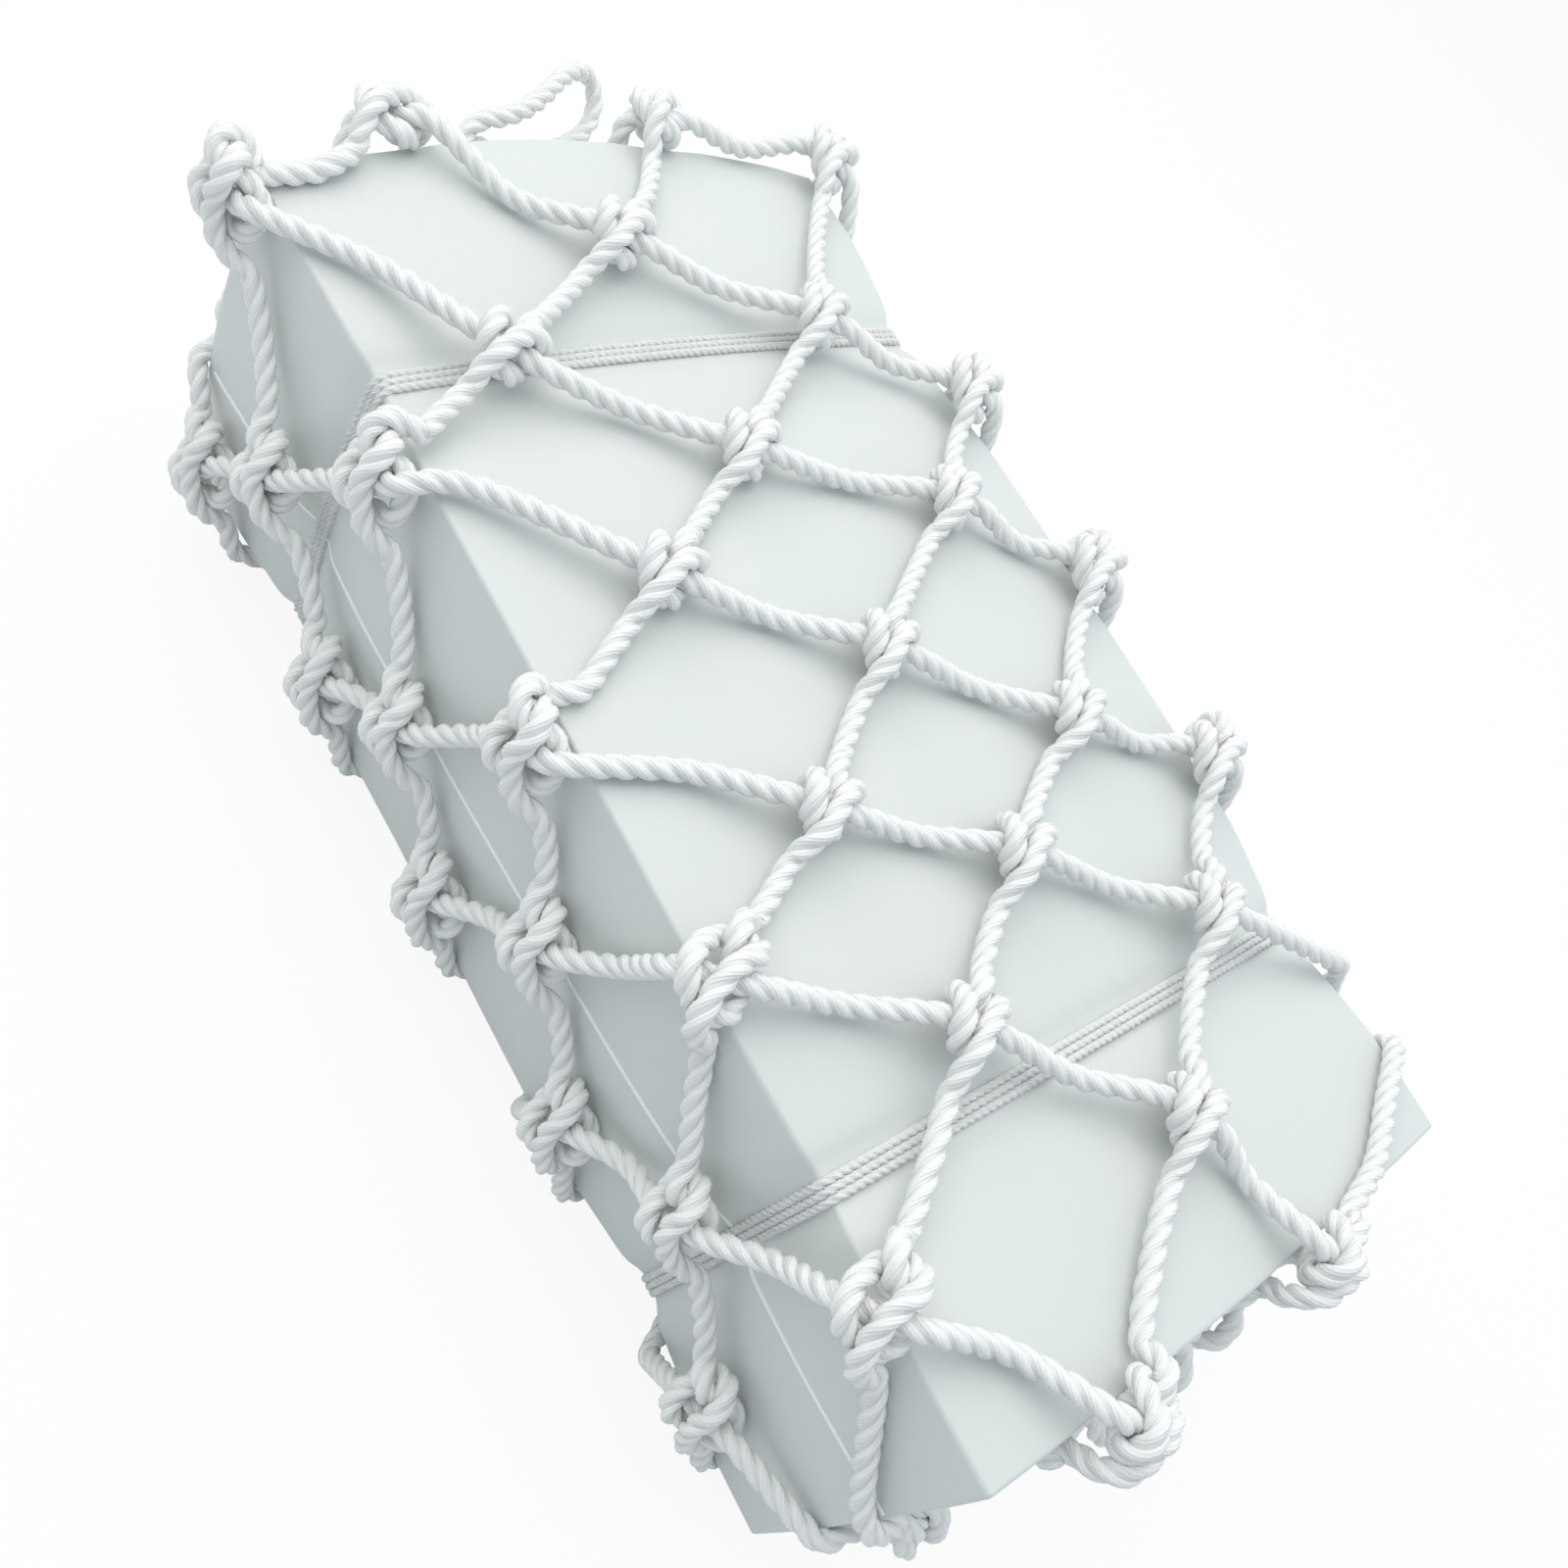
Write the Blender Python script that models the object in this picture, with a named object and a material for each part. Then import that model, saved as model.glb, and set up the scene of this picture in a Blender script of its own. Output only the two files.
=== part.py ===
"""Square boat fender: a foam block in a white cover, tied with two girth bindings and
carried in a knotted rope net whose ends are drawn together round a rope ring at each end.

Metres, +Z up. The fender lies on its back. The origin is on the surface that it lies on,
under the middle of the block, X across the width and +Y towards the end with the hanging eye.
"""
import math

import bmesh
import bpy
from mathutils import Vector

# Block and cover
BODY_WIDTH = 0.325
BODY_LENGTH = 0.600
BODY_DEPTH = 0.180
EDGE_RADIUS = 0.005
FRONT_CROWN = 0.007
SIDE_CROWN = 0.004
END_CROWN_TOP = 0.014
END_CROWN_BOTTOM = 0.002
LINING = 0.013
END_PANEL = 0.014
SLAB_COUNT = 6
FIT = 0.0003

# Girth bindings, each one thin cord wound three times round, in grooves that they draw into the cover
BINDING_CORD = 0.003
BINDING_TURN_COUNT = 3
BINDING_PITCH = 0.0035
BINDING_INSET_LOWER = 0.116
BINDING_INSET_UPPER = 0.110
BINDING_PINCH = 0.005
PINCH_REACH = 0.045
GROOVE_DEPTH = 0.0028
GROOVE_HALF = 0.0090
GROOVE_SLOPE = 0.006
BINDING_KNOT = (0.030, 0.016, 0.007)

# Net rope and its knots
ROPE = 0.010
ROPE_SIDE_COUNT = 6
ROPE_GAP = 0.0005
KNOT_THICKNESS = 0.022
KNOT_WIDTH = 0.029
KNOT_CORE = 0.0105
KNOT_REACH = 0.0155
KNOT_SEAT = 0.0012
RESTING_FLAT = 0.0005
SHARP_BEND = 14
COLUMN_COUNT = 12
ACROSS_COUNT = 4
DEEP_COUNT = 2

# How far up the block each row of knots sits, as a share of the block's length
ROW_SHARE = (1.0, 0.953, 0.828, 0.72, 0.622, 0.52, 0.42, 0.337, 0.232, 0.117, 0.0)

# Where hand-tied knots stray from the even net, in millimetres round and up the block
KNOT_STRAY = {
    (0, 1): (-5, 18), (0, 3): (-10, 13), (0, 5): (-8, 3), (0, 7): (3, -1), (0, 9): (0, 2),
    (1, 0): (-12, 0), (1, 2): (-24, -14), (1, 4): (-11, -10), (1, 6): (-2, -6), (1, 8): (5, 4),
    (1, 10): (-18, 0), (2, 1): (-15, -32), (2, 3): (-16, -16), (2, 5): (-8, -7), (2, 7): (-3, -4),
    (2, 9): (1, 0), (3, 0): (-23, 0), (3, 2): (-4, -12), (3, 4): (8, -2), (3, 6): (-3, -5),
    (3, 8): (5, 0), (3, 10): (-50, 0), (4, 1): (-4, 22), (4, 3): (-8, 2), (4, 5): (-5, 6),
    (4, 7): (-8, 2), (4, 9): (38, -10), (8, 5): (0, -12), (10, 1): (37, -9), (10, 3): (44, -2),
    (10, 5): (40, 2), (10, 7): (52, -9), (10, 9): (48, -10), (11, 0): (0, 26), (11, 2): (3, 14),
    (11, 4): (3, 2), (11, 6): (21, 4), (11, 8): (19, -6), (11, 10): (-10, -30),
}

# The one slack leg, from the lower right knot to the bottom edge, bows out over the front face:
# its places in millimetres round from the front left edge and up from the bottom end
SLACK_LEG = (4, 9)
SLACK_SPOTS = ((291, 24), (258, 7))

# Rope ring that gathers the net over each end, and the hanging eye on its straight front run
RING_STRAIGHT = 0.048
RING_RADIUS = 0.024
RING_TURN_STEPS = 6
BIGHT_HALF = 0.0054
BIGHT_OUT = 0.017
BIGHT_FALL = -0.3
BIGHT_OVER = 130
HITCH_PITCH = 0.0119
ENTRY_ASIDE = 0.020
ENTRY_INSET = 0.018
EDGE_FOLD = 0.007
EYE_ROPE = 0.0102
EYE_SIDE_COUNT = 8
EYE_LEG = 0.0165
EYE_NECK = 0.0054
EYE_WRAP = 0.0122
EYE_WRAP_TURN = (118, 168, 218, 268, 318, 360)
EYE_LEAN = 18.0
SEIZING_LENGTH = 0.009
SEIZING_WALL = 0.0018
SEIZING_SIDE_COUNT = 12
SEIZING_START = 0.034
# The eye's route: right of the hinge, up from it and forward of its plane, in millimetres
EYE_LEFT_LEG = ((-16.5, 14, 7), (-11.5, 24, 2.5), (-5.4, 32, 0), (-5.4, 45, 0), (-3.5, 51, 3), (6, 56, 7),
                (20, 57, 10), (36, 62, 11), (52, 71, 11), (67, 81, 10))
EYE_TIP = ((82, 87, 6), (92, 88, 0), (97, 81, -6), (94, 71, -11))
EYE_RIGHT_LEG = ((84, 62, -14), (66, 55, -15), (48, 50, -15), (30, 48, -13), (14, 49, -9), (8, 48.5, -4),
                 (5.4, 45, 0), (5.4, 32, 0), (11.5, 24, 2.5), (16.5, 14, 7))

MM = 0.001
HALF = Vector((BODY_WIDTH / 2, BODY_LENGTH / 2, BODY_DEPTH / 2))
KNOT_LIFT = KNOT_THICKNESS / 2 + KNOT_SEAT
CENTRE = Vector((0, 0, BODY_DEPTH / 2 + KNOT_LIFT + KNOT_THICKNESS / 2 - RESTING_FLAT))
BINDING_Y = (-HALF.y + BINDING_INSET_LOWER, HALF.y - BINDING_INSET_UPPER)
UNDER_LIFT = ROPE / 2 + ROPE_GAP
PASSAGE_HALF = KNOT_WIDTH / 2 + 0.0015
ROPE_RADIUS = ROPE / 2 * 1.05
PASSAGE_RADIUS = ROPE_RADIUS + 0.0007
ROWS = len(ROW_SHARE)
FACING = 0.1


def clear_scene():
    for item in list(bpy.data.objects):
        bpy.data.objects.remove(item, do_unlink=True)


def material(name, colour, roughness):
    found = bpy.data.materials.get(name)
    if found:
        return found
    made = bpy.data.materials.new(name)
    made.use_nodes = True
    shader = made.node_tree.nodes["Principled BSDF"]
    shader.inputs["Base Color"].default_value = (*colour, 1.0)
    shader.inputs["Roughness"].default_value = roughness
    shader.inputs["Metallic"].default_value = 0.0
    return made


def cover_white():
    return material("cover_fabric", (0.80, 0.83, 0.84), 0.45)


def rope_white():
    return material("net_rope", (0.86, 0.87, 0.86), 0.5)


def foam_white():
    return material("foam", (0.90, 0.90, 0.88), 0.9)


def add_object(name, mesh, finish):
    made = bpy.data.objects.new(name, mesh)
    bpy.context.scene.collection.objects.link(made)
    mesh.materials.append(finish)
    return made


def mesh_from(bm, name):
    bmesh.ops.recalc_face_normals(bm, faces=bm.faces)
    if bm.calc_volume(signed=True) < 0:
        bmesh.ops.reverse_faces(bm, faces=bm.faces)
    mesh = bpy.data.meshes.new(name)
    bm.to_mesh(mesh)
    bm.free()
    return mesh


def skin_rings(bm, rings, closed_path=False, capped=True):
    """Joins rings of points into a skin and closes its two ends."""
    rows = [[bm.verts.new(point) for point in ring] for ring in rings]
    pairs = list(zip(rows, rows[1:]))
    if closed_path:
        pairs.append((rows[-1], rows[0]))
    for first, second in pairs:
        for here in range(len(first)):
            after = (here + 1) % len(first)
            bm.faces.new((first[here], first[after], second[after], second[here]))
    if capped and not closed_path:
        bm.faces.new(rows[0])
        bm.faces.new(list(reversed(rows[-1])))
    return rows


def apply_boolean(target, tool, operation):
    step = target.modifiers.new(operation.lower(), "BOOLEAN")
    step.operation = operation
    step.solver = "EXACT"
    step.object = tool
    tool.hide_render = True
    tool.display_type = "WIRE"


# The body's outer skin, as a rounded and crowned box round the block's centre


def draw_in(along):
    """How far the bindings pull the skin in at this place along the block."""
    total = 0.0
    for place in BINDING_Y:
        distance = abs(along - place)
        total += BINDING_PINCH * math.exp(-((distance / PINCH_REACH) ** 2))
        total += GROOVE_DEPTH * max(0.0, 1.0 - max(0.0, distance - GROOVE_HALF) / GROOVE_SLOPE)
    return total


def end_crown(side):
    return END_CROWN_TOP if side > 0 else END_CROWN_BOTTOM


def skin(sharp, bound=True):
    """The skin's point and outward normal for a point on the block's sharp box."""
    inner = Vector([max(-HALF[k] + EDGE_RADIUS, min(HALF[k] - EDGE_RADIUS, sharp[k])) for k in range(3)])
    normal = (sharp - inner).normalized()
    across = 1.0 - (sharp.x / HALF.x) ** 2
    deep = 1.0 - (sharp.z / HALF.z) ** 2
    point = inner + normal * EDGE_RADIUS
    if normal.z > FACING:
        point.z += FRONT_CROWN * across
    if abs(normal.x) > FACING:
        point.x += math.copysign(SIDE_CROWN * deep, normal.x)
    if abs(normal.y) > FACING:
        point.y += math.copysign(end_crown(normal.y) * across, normal.y)
    if bound:
        point.x *= 1.0 - draw_in(sharp.y) / HALF.x
        point.z *= 1.0 - draw_in(sharp.y) / HALF.z
    return CENTRE + point, normal


def girth_spot(distance):
    """A place on the sharp cross-section, walked from the front left edge over the front face."""
    lengths = (BODY_WIDTH, BODY_DEPTH, BODY_WIDTH, BODY_DEPTH)
    corners = ((-HALF.x, HALF.z), (HALF.x, HALF.z), (HALF.x, -HALF.z), (-HALF.x, -HALF.z))
    distance %= sum(lengths)
    for side, length in enumerate(lengths):
        if distance <= length:
            start = corners[side]
            end = corners[(side + 1) % 4]
            share = distance / length
            return (start[0] + (end[0] - start[0]) * share, start[1] + (end[1] - start[1]) * share)
        distance -= length
    return corners[0]


def girth_distances():
    """Stations round the cross-section: three on each rounded edge, some across each face."""
    stations = []
    start = 0.0
    for length, inner_steps in ((BODY_WIDTH, 5), (BODY_DEPTH, 3), (BODY_WIDTH, 5), (BODY_DEPTH, 3)):
        stations.append(start)
        stations.append(start + EDGE_RADIUS)
        for step in range(1, inner_steps):
            stations.append(start + EDGE_RADIUS + (length - 2 * EDGE_RADIUS) * step / inner_steps)
        stations.append(start + length - EDGE_RADIUS)
        start += length
    return stations


def skin_ring(along, lift=0.0):
    ring = []
    for distance in girth_distances():
        x, z = girth_spot(distance)
        point, normal = skin(Vector((x, along, z)))
        ring.append(point + normal * lift)
    return ring


def make_sleeve():
    """The cover with its soft lining, drawn in at both bindings and open at both ends."""
    end = HALF.y - END_PANEL
    places = {-end, end}
    for place in BINDING_Y:
        places.update(place + side * (GROOVE_HALF + GROOVE_SLOPE * k) for side in (-1, 1) for k in (0, 1, 4))
    middle = sum(BINDING_Y) / 2
    reach = BINDING_Y[1] - middle
    places.update(middle + reach * k for k in (-0.45, 0.0, 0.45))
    bm = bmesh.new()
    outer = skin_rings(bm, [skin_ring(place) for place in sorted(places)], capped=False)
    half_x = HALF.x - LINING
    half_z = HALF.z - LINING
    corners = ((-half_x, half_z), (half_x, half_z), (half_x, -half_z), (-half_x, -half_z))
    bore = [[bm.verts.new(CENTRE + Vector((x, side * end, z))) for x, z in corners] for side in (-1, 1)]
    for k in range(4):
        after = (k + 1) % 4
        bm.faces.new((bore[0][k], bore[0][after], bore[1][after], bore[1][k]))
    per_side = (6, 4, 6, 4)
    for rim, hole in ((outer[0], bore[0]), (outer[-1], bore[1])):
        first = 0
        for side, count in enumerate(per_side):
            arc = [rim[(first + k) % len(rim)] for k in range(count + 2)]
            bm.faces.new(arc + [hole[(side + 1) % 4], hole[side]])
            first += count + 1
    return add_object("cover_sleeve", mesh_from(bm, "cover_sleeve"), cover_white())


def make_end_panel(name, side):
    """A crowned panel that closes one end of the cover and makes the rounded end edge."""
    base = HALF.y - END_PANEL + FIT
    rings = [skin_ring(side * base), skin_ring(side * (HALF.y - EDGE_RADIUS))]
    turned = []
    for distance in girth_distances():
        x, z = girth_spot(distance)
        turned.append(skin(Vector((x, side * HALF.y, z)))[0])
    rings.append(turned)
    for share in (0.9, 0.45):
        ring = []
        for distance in girth_distances():
            x, z = girth_spot(distance)
            ring.append(skin(Vector((x * share, side * HALF.y, z * share)))[0])
        rings.append(ring)
    bm = bmesh.new()
    skin_rings(bm, rings)
    return add_object(name, mesh_from(bm, name), cover_white())


def make_slabs():
    """The block: flat foam sheets stacked through the depth, one node each."""
    half_x = HALF.x - LINING - FIT
    half_y = HALF.y - END_PANEL
    depth = BODY_DEPTH - 2 * LINING - 2 * FIT
    thickness = (depth - FIT * (SLAB_COUNT - 1)) / SLAB_COUNT
    for index in range(SLAB_COUNT):
        name = f"foam_slab_{index + 1}"
        bm = bmesh.new()
        bmesh.ops.create_cube(bm, size=1.0)
        size = Vector((2 * half_x, 2 * half_y, thickness))
        bmesh.ops.scale(bm, vec=size, verts=bm.verts)
        height = CENTRE.z - depth / 2 + thickness / 2 + index * (thickness + FIT)
        slab = add_object(name, mesh_from(bm, name), foam_white())
        slab.location = (CENTRE.x, CENTRE.y, height)


def binding_route(place):
    """The middle line of a cord wound round the girth, which steps aside once a turn on the back."""
    girth = column_girth(COLUMN_COUNT)
    start = BODY_WIDTH + BODY_DEPTH + BODY_WIDTH / 2
    turn = sorted((distance - start) % girth for distance in girth_distances())
    stations = []
    for index in range(BINDING_TURN_COUNT):
        shift = (index - (BINDING_TURN_COUNT - 1) / 2) * BINDING_PITCH
        stations += [(distance, place + shift) for distance in [0.0] + turn]
    stations.append((0.0, place + shift + BINDING_PITCH))
    points, normals = [], []
    for distance, along in stations:
        x, z = girth_spot(start + distance)
        point, normal = skin(Vector((x, along, z)))
        points.append(point + normal * (BINDING_CORD / 2 + FIT))
        normals.append(normal)
    return points, normals


def least_gap(points, radius, apart):
    """The least gap between stretches of a tube that are at least so many points apart."""
    pairs = [(here, there) for here in range(len(points)) for there in range(here + apart, len(points))]
    return min((points[here] - points[there]).length for here, there in pairs) - 2 * radius


def make_binding(name, place):
    """One thin cord wound side by side round the girth, drawn down into its groove."""
    points, normals = binding_route(place)
    bm = bmesh.new()
    skin_rings(bm, tube_rings(points, normals, BINDING_CORD / 2))
    gap = least_gap(points, BINDING_CORD / 2, len(girth_distances()))
    print(name, "least gap between turns", round(gap / MM, 2), "mm")
    return add_object(name, mesh_from(bm, name), rope_white())


def make_binding_knot(name, place):
    """The knot that ties a binding's ends, on the back where the net leaves it room."""
    bm = bmesh.new()
    bmesh.ops.create_cube(bm, size=1.0)
    bmesh.ops.scale(bm, vec=BINDING_KNOT, verts=bm.verts)
    point, normal = skin(Vector((0, place + BINDING_PITCH / 2, -HALF.z)))
    knot = add_object(name, mesh_from(bm, name), rope_white())
    knot.location = point + normal * (BINDING_CORD + 2 * FIT + BINDING_KNOT[2] / 2)
    edges = knot.modifiers.new("rounded", "BEVEL")
    edges.width = BINDING_KNOT[2] * 0.3
    edges.segments = 1


# The net: staggered knots, six ropes laid one way and six the other


def column_girth(column):
    """How far round the girth a column of knots is. Column 0 is the front left edge."""
    turns, within = divmod(column, COLUMN_COUNT)
    across = BODY_WIDTH / ACROSS_COUNT
    deep = BODY_DEPTH / DEEP_COUNT
    steps = [across] * ACROSS_COUNT + [deep] * DEEP_COUNT
    steps += steps
    return turns * sum(steps) + sum(steps[:within])


def past_end(along):
    return max(0.0, abs(along) - HALF.y)


def over_skin(distance, along, lift):
    """A point at a height over the skin as it would be unbound, and the outward normal there.

    A place past the block's end is as far in from the edge, over that end.
    """
    x, z = girth_spot(distance)
    past = past_end(along)
    if abs(x) > HALF.x - EDGE_RADIUS:
        x -= math.copysign(past, x)
    if abs(z) > HALF.z - EDGE_RADIUS:
        z -= math.copysign(past, z)
    point, normal = skin(Vector((x, max(-HALF.y, min(HALF.y, along)), z)), bound=False)
    return point + normal * lift, normal


def knot_spot(column, row):
    """A knot's distance round the girth and its place along the block."""
    round_stray, up_stray = KNOT_STRAY.get((column % COLUMN_COUNT, row), (0, 0))
    distance = column_girth(column) + round_stray * MM
    return distance, -HALF.y + BODY_LENGTH * ROW_SHARE[row] + up_stray * MM


def end_height(side, x):
    """The end panel's height above the block's middle, at x across."""
    return HALF.y + end_crown(side) * (1.0 - (x / HALF.x) ** 2)


def ring_angle_spot(column):
    """Where on the ring a bight sits, and its outward direction, in x and z from the end's middle."""
    turns = {0: 135, 2: 90, 4: 45, 6: -45, 8: -90, 10: -135}
    angle = math.radians(turns[column % COLUMN_COUNT])
    shift = {0: -1, 2: 0, 4: 1, 6: 1, 8: 0, 10: -1}[column % COLUMN_COUNT]
    spot = (shift * RING_STRAIGHT / 2 + RING_RADIUS * math.cos(angle), RING_RADIUS * math.sin(angle))
    return spot, (math.cos(angle), math.sin(angle))


def ring_lift():
    return UNDER_LIFT + HITCH_PITCH


def end_point(side, x, z, lift):
    return CENTRE + Vector((x, side * (end_height(side, x) + lift), z))


def ring_point(side, x, z, lift):
    """A point by the ring, whose plane is flat at the height of the crown's top."""
    return CENTRE + Vector((x, side * (end_height(side, 0) + lift), z))


def bight_route(side, column, knot, turn):
    """A strand's stops over the end, from the middle of its bight to short of its edge knot."""
    (rx, rz), (dx, dz) = ring_angle_spot(column)
    sign = -side * turn
    lx, lz = -dz * sign, dx * sign
    over = turn > 0
    climb = 1 if over else -1
    points = []
    turns = ((0, FIT), (0, 4 * FIT), (45, 0), (90, 0)) + (((BIGHT_OVER, 0),) if over else ())
    for turned, rise in turns:
        angle = math.radians(180 - climb * turned)
        out = math.cos(angle) * HITCH_PITCH
        lift = ring_lift() + math.sin(angle) * HITCH_PITCH + climb * rise
        sideways = BIGHT_HALF * min(1.0, turned / 90)
        points.append(ring_point(side, rx + dx * out + lx * sideways, rz + dz * out + lz * sideways, lift))
    lift = ring_lift() + HITCH_PITCH * BIGHT_FALL if over else UNDER_LIFT
    near_x = rx + dx * BIGHT_OUT + lx * (BIGHT_HALF + ROPE_GAP)
    near_z = rz + dz * BIGHT_OUT + lz * (BIGHT_HALF + ROPE_GAP)
    points.append(ring_point(side, near_x, near_z, lift))
    x, z = girth_spot(knot[0] - side * turn * ENTRY_ASIDE)
    inset = ENTRY_INSET + past_end(knot[1])
    x = max(-HALF.x + inset, min(HALF.x - inset, x))
    z = max(-HALF.z + inset, min(HALF.z - inset, z))
    points.append(end_point(side, (near_x + x) / 2, (near_z + z) / 2, UNDER_LIFT + ROPE_GAP))
    points.append(end_point(side, x, z, UNDER_LIFT + ROPE_GAP))
    return [(point, Vector((0, side, 0)), None) for point in points]


def edge_stops(from_spot, to_spot):
    """Stops where a leg folds over an edge of the block that neither of its knots sits on."""
    corners = (0.0, BODY_WIDTH, BODY_WIDTH + BODY_DEPTH, 2 * BODY_WIDTH + BODY_DEPTH)
    girth = column_girth(COLUMN_COUNT)
    (start, start_along), (end, end_along) = from_spot, to_spot
    low, high = min(start, end), max(start, end)
    places = []
    for turns in (-1, 0, 1, 2):
        for corner in corners:
            places += [turns * girth + corner + fold for fold in (-EDGE_FOLD, 0.0, EDGE_FOLD)]
    places = [place for place in places if low + KNOT_REACH < place < high - KNOT_REACH]
    shares = [(place - start) / (end - start) for place in places]
    if max(past_end(start_along), past_end(end_along)) > KNOT_REACH:
        reach = KNOT_REACH / math.hypot(end - start, end_along - start_along)
        for fold in (-EDGE_FOLD, 0.0, EDGE_FOLD):
            place = math.copysign(HALF.y + fold, start_along)
            share = (place - start_along) / (end_along - start_along)
            if reach < share < 1.0 - reach:
                shares.append(share)
    stops = []
    for share in sorted(shares):
        place = (start + (end - start) * share, start_along + (end_along - start_along) * share)
        point, normal = over_skin(*place, UNDER_LIFT + 2 * ROPE_GAP)
        stops.append((point, normal, None))
    return stops


def slack_stops(from_spot):
    """The slack leg's stops: its fold over the right edge and its bow over the front face."""
    girth = column_girth(COLUMN_COUNT)
    laps = from_spot[0] // girth * girth
    spots = [(laps + distance * MM, up * MM - HALF.y) for distance, up in SLACK_SPOTS]
    stops = edge_stops(from_spot, spots[0])
    for spot in spots:
        point, normal = over_skin(*spot, UNDER_LIFT + 2 * ROPE_GAP)
        stops.append((point, normal, None))
    return stops


def rope_stops(start_column, turn):
    """Every stop of one rope: its top bight, its knots and the folds between, its bottom bight."""
    spots = [knot_spot(start_column + turn * row, row) for row in range(ROWS)]
    last_column = start_column + turn * (ROWS - 1)
    stops = bight_route(1, start_column - turn, spots[0], turn)
    for row, spot in enumerate(spots):
        if turn < 0 and ((start_column - row + 1) % COLUMN_COUNT, row - 1) == SLACK_LEG:
            stops += slack_stops(spots[row - 1])
        elif row:
            stops += edge_stops(spots[row - 1], spot)
        point, normal = over_skin(*spot, KNOT_LIFT)
        stops.append((point, normal, row))
    stops += reversed(bight_route(-1, last_column + turn, spots[-1], turn))
    return stops


def crossing(stops, index):
    """The direction of a rope through its knot, and how far it bends there."""
    before, (place, normal, row), after = stops[index - 1][0], stops[index], stops[index + 1][0]
    through = after - before
    through = (through - normal * through.dot(normal)).normalized()
    return through, (place - before).angle(after - place)


def unit_ring(centre, tangent, normal, half_width, half_height, sides=ROPE_SIDE_COUNT, first=0):
    tangent = tangent.normalized()
    up = (normal - tangent * normal.dot(tangent)).normalized()
    right = tangent.cross(up)
    ring = []
    for k in range(sides):
        angle = 2 * math.pi * k / sides + math.radians(first)
        ring.append(centre + right * math.cos(angle) * half_width + up * math.sin(angle) * half_height)
    return ring


def tube_rings(points, normals, radius, sides=ROPE_SIDE_COUNT, first=0):
    rings = []
    for k, point in enumerate(points):
        before = points[max(0, k - 1)]
        after = points[min(len(points) - 1, k + 1)]
        tangent = (point - before).normalized() + (after - point).normalized()
        rings.append(unit_ring(point, tangent, normals[k], radius, radius, sides, first))
    return rings


def straight_rope_path(start_column):
    """A rope that runs straight through the other ropes' knots, and where it enters each."""
    stops = rope_stops(start_column, 1)
    points, normals, inside = [], [], []
    for index, (place, normal, row) in enumerate(stops):
        if row is None:
            points.append(place)
            normals.append(normal)
            continue
        through, bend = crossing(stops, index)
        if bend > math.radians(SHARP_BEND):
            inside.append((len(points), len(points) + 1))
            points += [place - through * PASSAGE_HALF, place + through * PASSAGE_HALF]
            normals += [normal, normal]
        else:
            inside.append((len(points), len(points)))
            points.append(place)
            normals.append(normal)
    return points, normals, inside


def passages(start_column):
    """The short stretch of a straight rope inside each knot that it runs through."""
    points, normals, inside = straight_rope_path(start_column)
    stretches = []
    for first, last in inside:
        reach = KNOT_WIDTH * 0.7 if first == last else ROPE * 1.1
        run, facing = points[first:last + 1], normals[first:last + 1]
        for here, beyond, place in ((first, first - 1, 0), (last, last + 1, len(run) + 1)):
            share = reach / (points[beyond] - points[here]).length
            run.insert(place, points[here].lerp(points[beyond], share))
            facing.insert(place, normals[here].lerp(normals[beyond], share))
        stretches.append((run, facing))
    return stretches


def make_straight_rope(name, start_column, radius):
    points, normals, _ = straight_rope_path(start_column)
    bm = bmesh.new()
    skin_rings(bm, tube_rings(points, normals, radius))
    return add_object(name, mesh_from(bm, name), rope_white())


def make_knotted_rope(name, start_column, cutters):
    """A rope whose knots swell round the ropes that cross it, cut clear of each of them."""
    stops = rope_stops(start_column, -1)
    height = KNOT_THICKNESS / 2 / math.sin(math.pi * 2 / ROPE_SIDE_COUNT)
    profile = ((-KNOT_REACH, ROPE_RADIUS, ROPE_RADIUS), (-KNOT_CORE, KNOT_WIDTH / 2, height),
               (KNOT_CORE, KNOT_WIDTH / 2, height), (KNOT_REACH, ROPE_RADIUS, ROPE_RADIUS))
    rings = []
    for index, (place, normal, row) in enumerate(stops):
        if row is None:
            before = stops[max(0, index - 1)][0]
            after = stops[min(len(stops) - 1, index + 1)][0]
            tangent = (place - before).normalized() + (after - place).normalized()
            rings.append(unit_ring(place, tangent, normal, ROPE_RADIUS, ROPE_RADIUS))
            continue
        through, bend = crossing(stops, index)
        for reach, wide, high in profile:
            rings.append(unit_ring(place + through * reach, through, normal, wide, high))
    bm = bmesh.new()
    skin_rings(bm, rings)
    rope = add_object(name, mesh_from(bm, name), rope_white())
    for cutter in cutters:
        apply_boolean(rope, cutter, "DIFFERENCE")
    return rope


def make_floor_cutter():
    """Everything below the resting plane, which flattens the knots that the fender lies on."""
    bm = bmesh.new()
    bmesh.ops.create_cube(bm, size=1.0)
    bmesh.ops.scale(bm, vec=(2 * BODY_WIDTH, 2 * BODY_LENGTH, ROPE), verts=bm.verts)
    cutter = add_object("resting_plane_cutter", mesh_from(bm, "resting_plane_cutter"), rope_white())
    cutter.location = (0, 0, -ROPE / 2)
    return cutter


def make_clearance_cutter():
    """The straight ropes' stretches inside the knots, a little fatter, as one cutter."""
    bm = bmesh.new()
    for start in range(1, COLUMN_COUNT, 2):
        for points, normals in passages(start):
            skin_rings(bm, tube_rings(points, normals, PASSAGE_RADIUS * math.sqrt(2), 4, 45))
    return add_object("passage_cutter", mesh_from(bm, "passage_cutter"), rope_white())


def make_net():
    passage_cutter = make_clearance_cutter()
    floor = make_floor_cutter()
    for index, start in enumerate(range(1, COLUMN_COUNT, 2)):
        make_straight_rope(f"net_rope_a{index + 1}", start, ROPE_RADIUS)
        make_knotted_rope(f"net_rope_b{index + 1}", start, (passage_cutter, floor))


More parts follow.
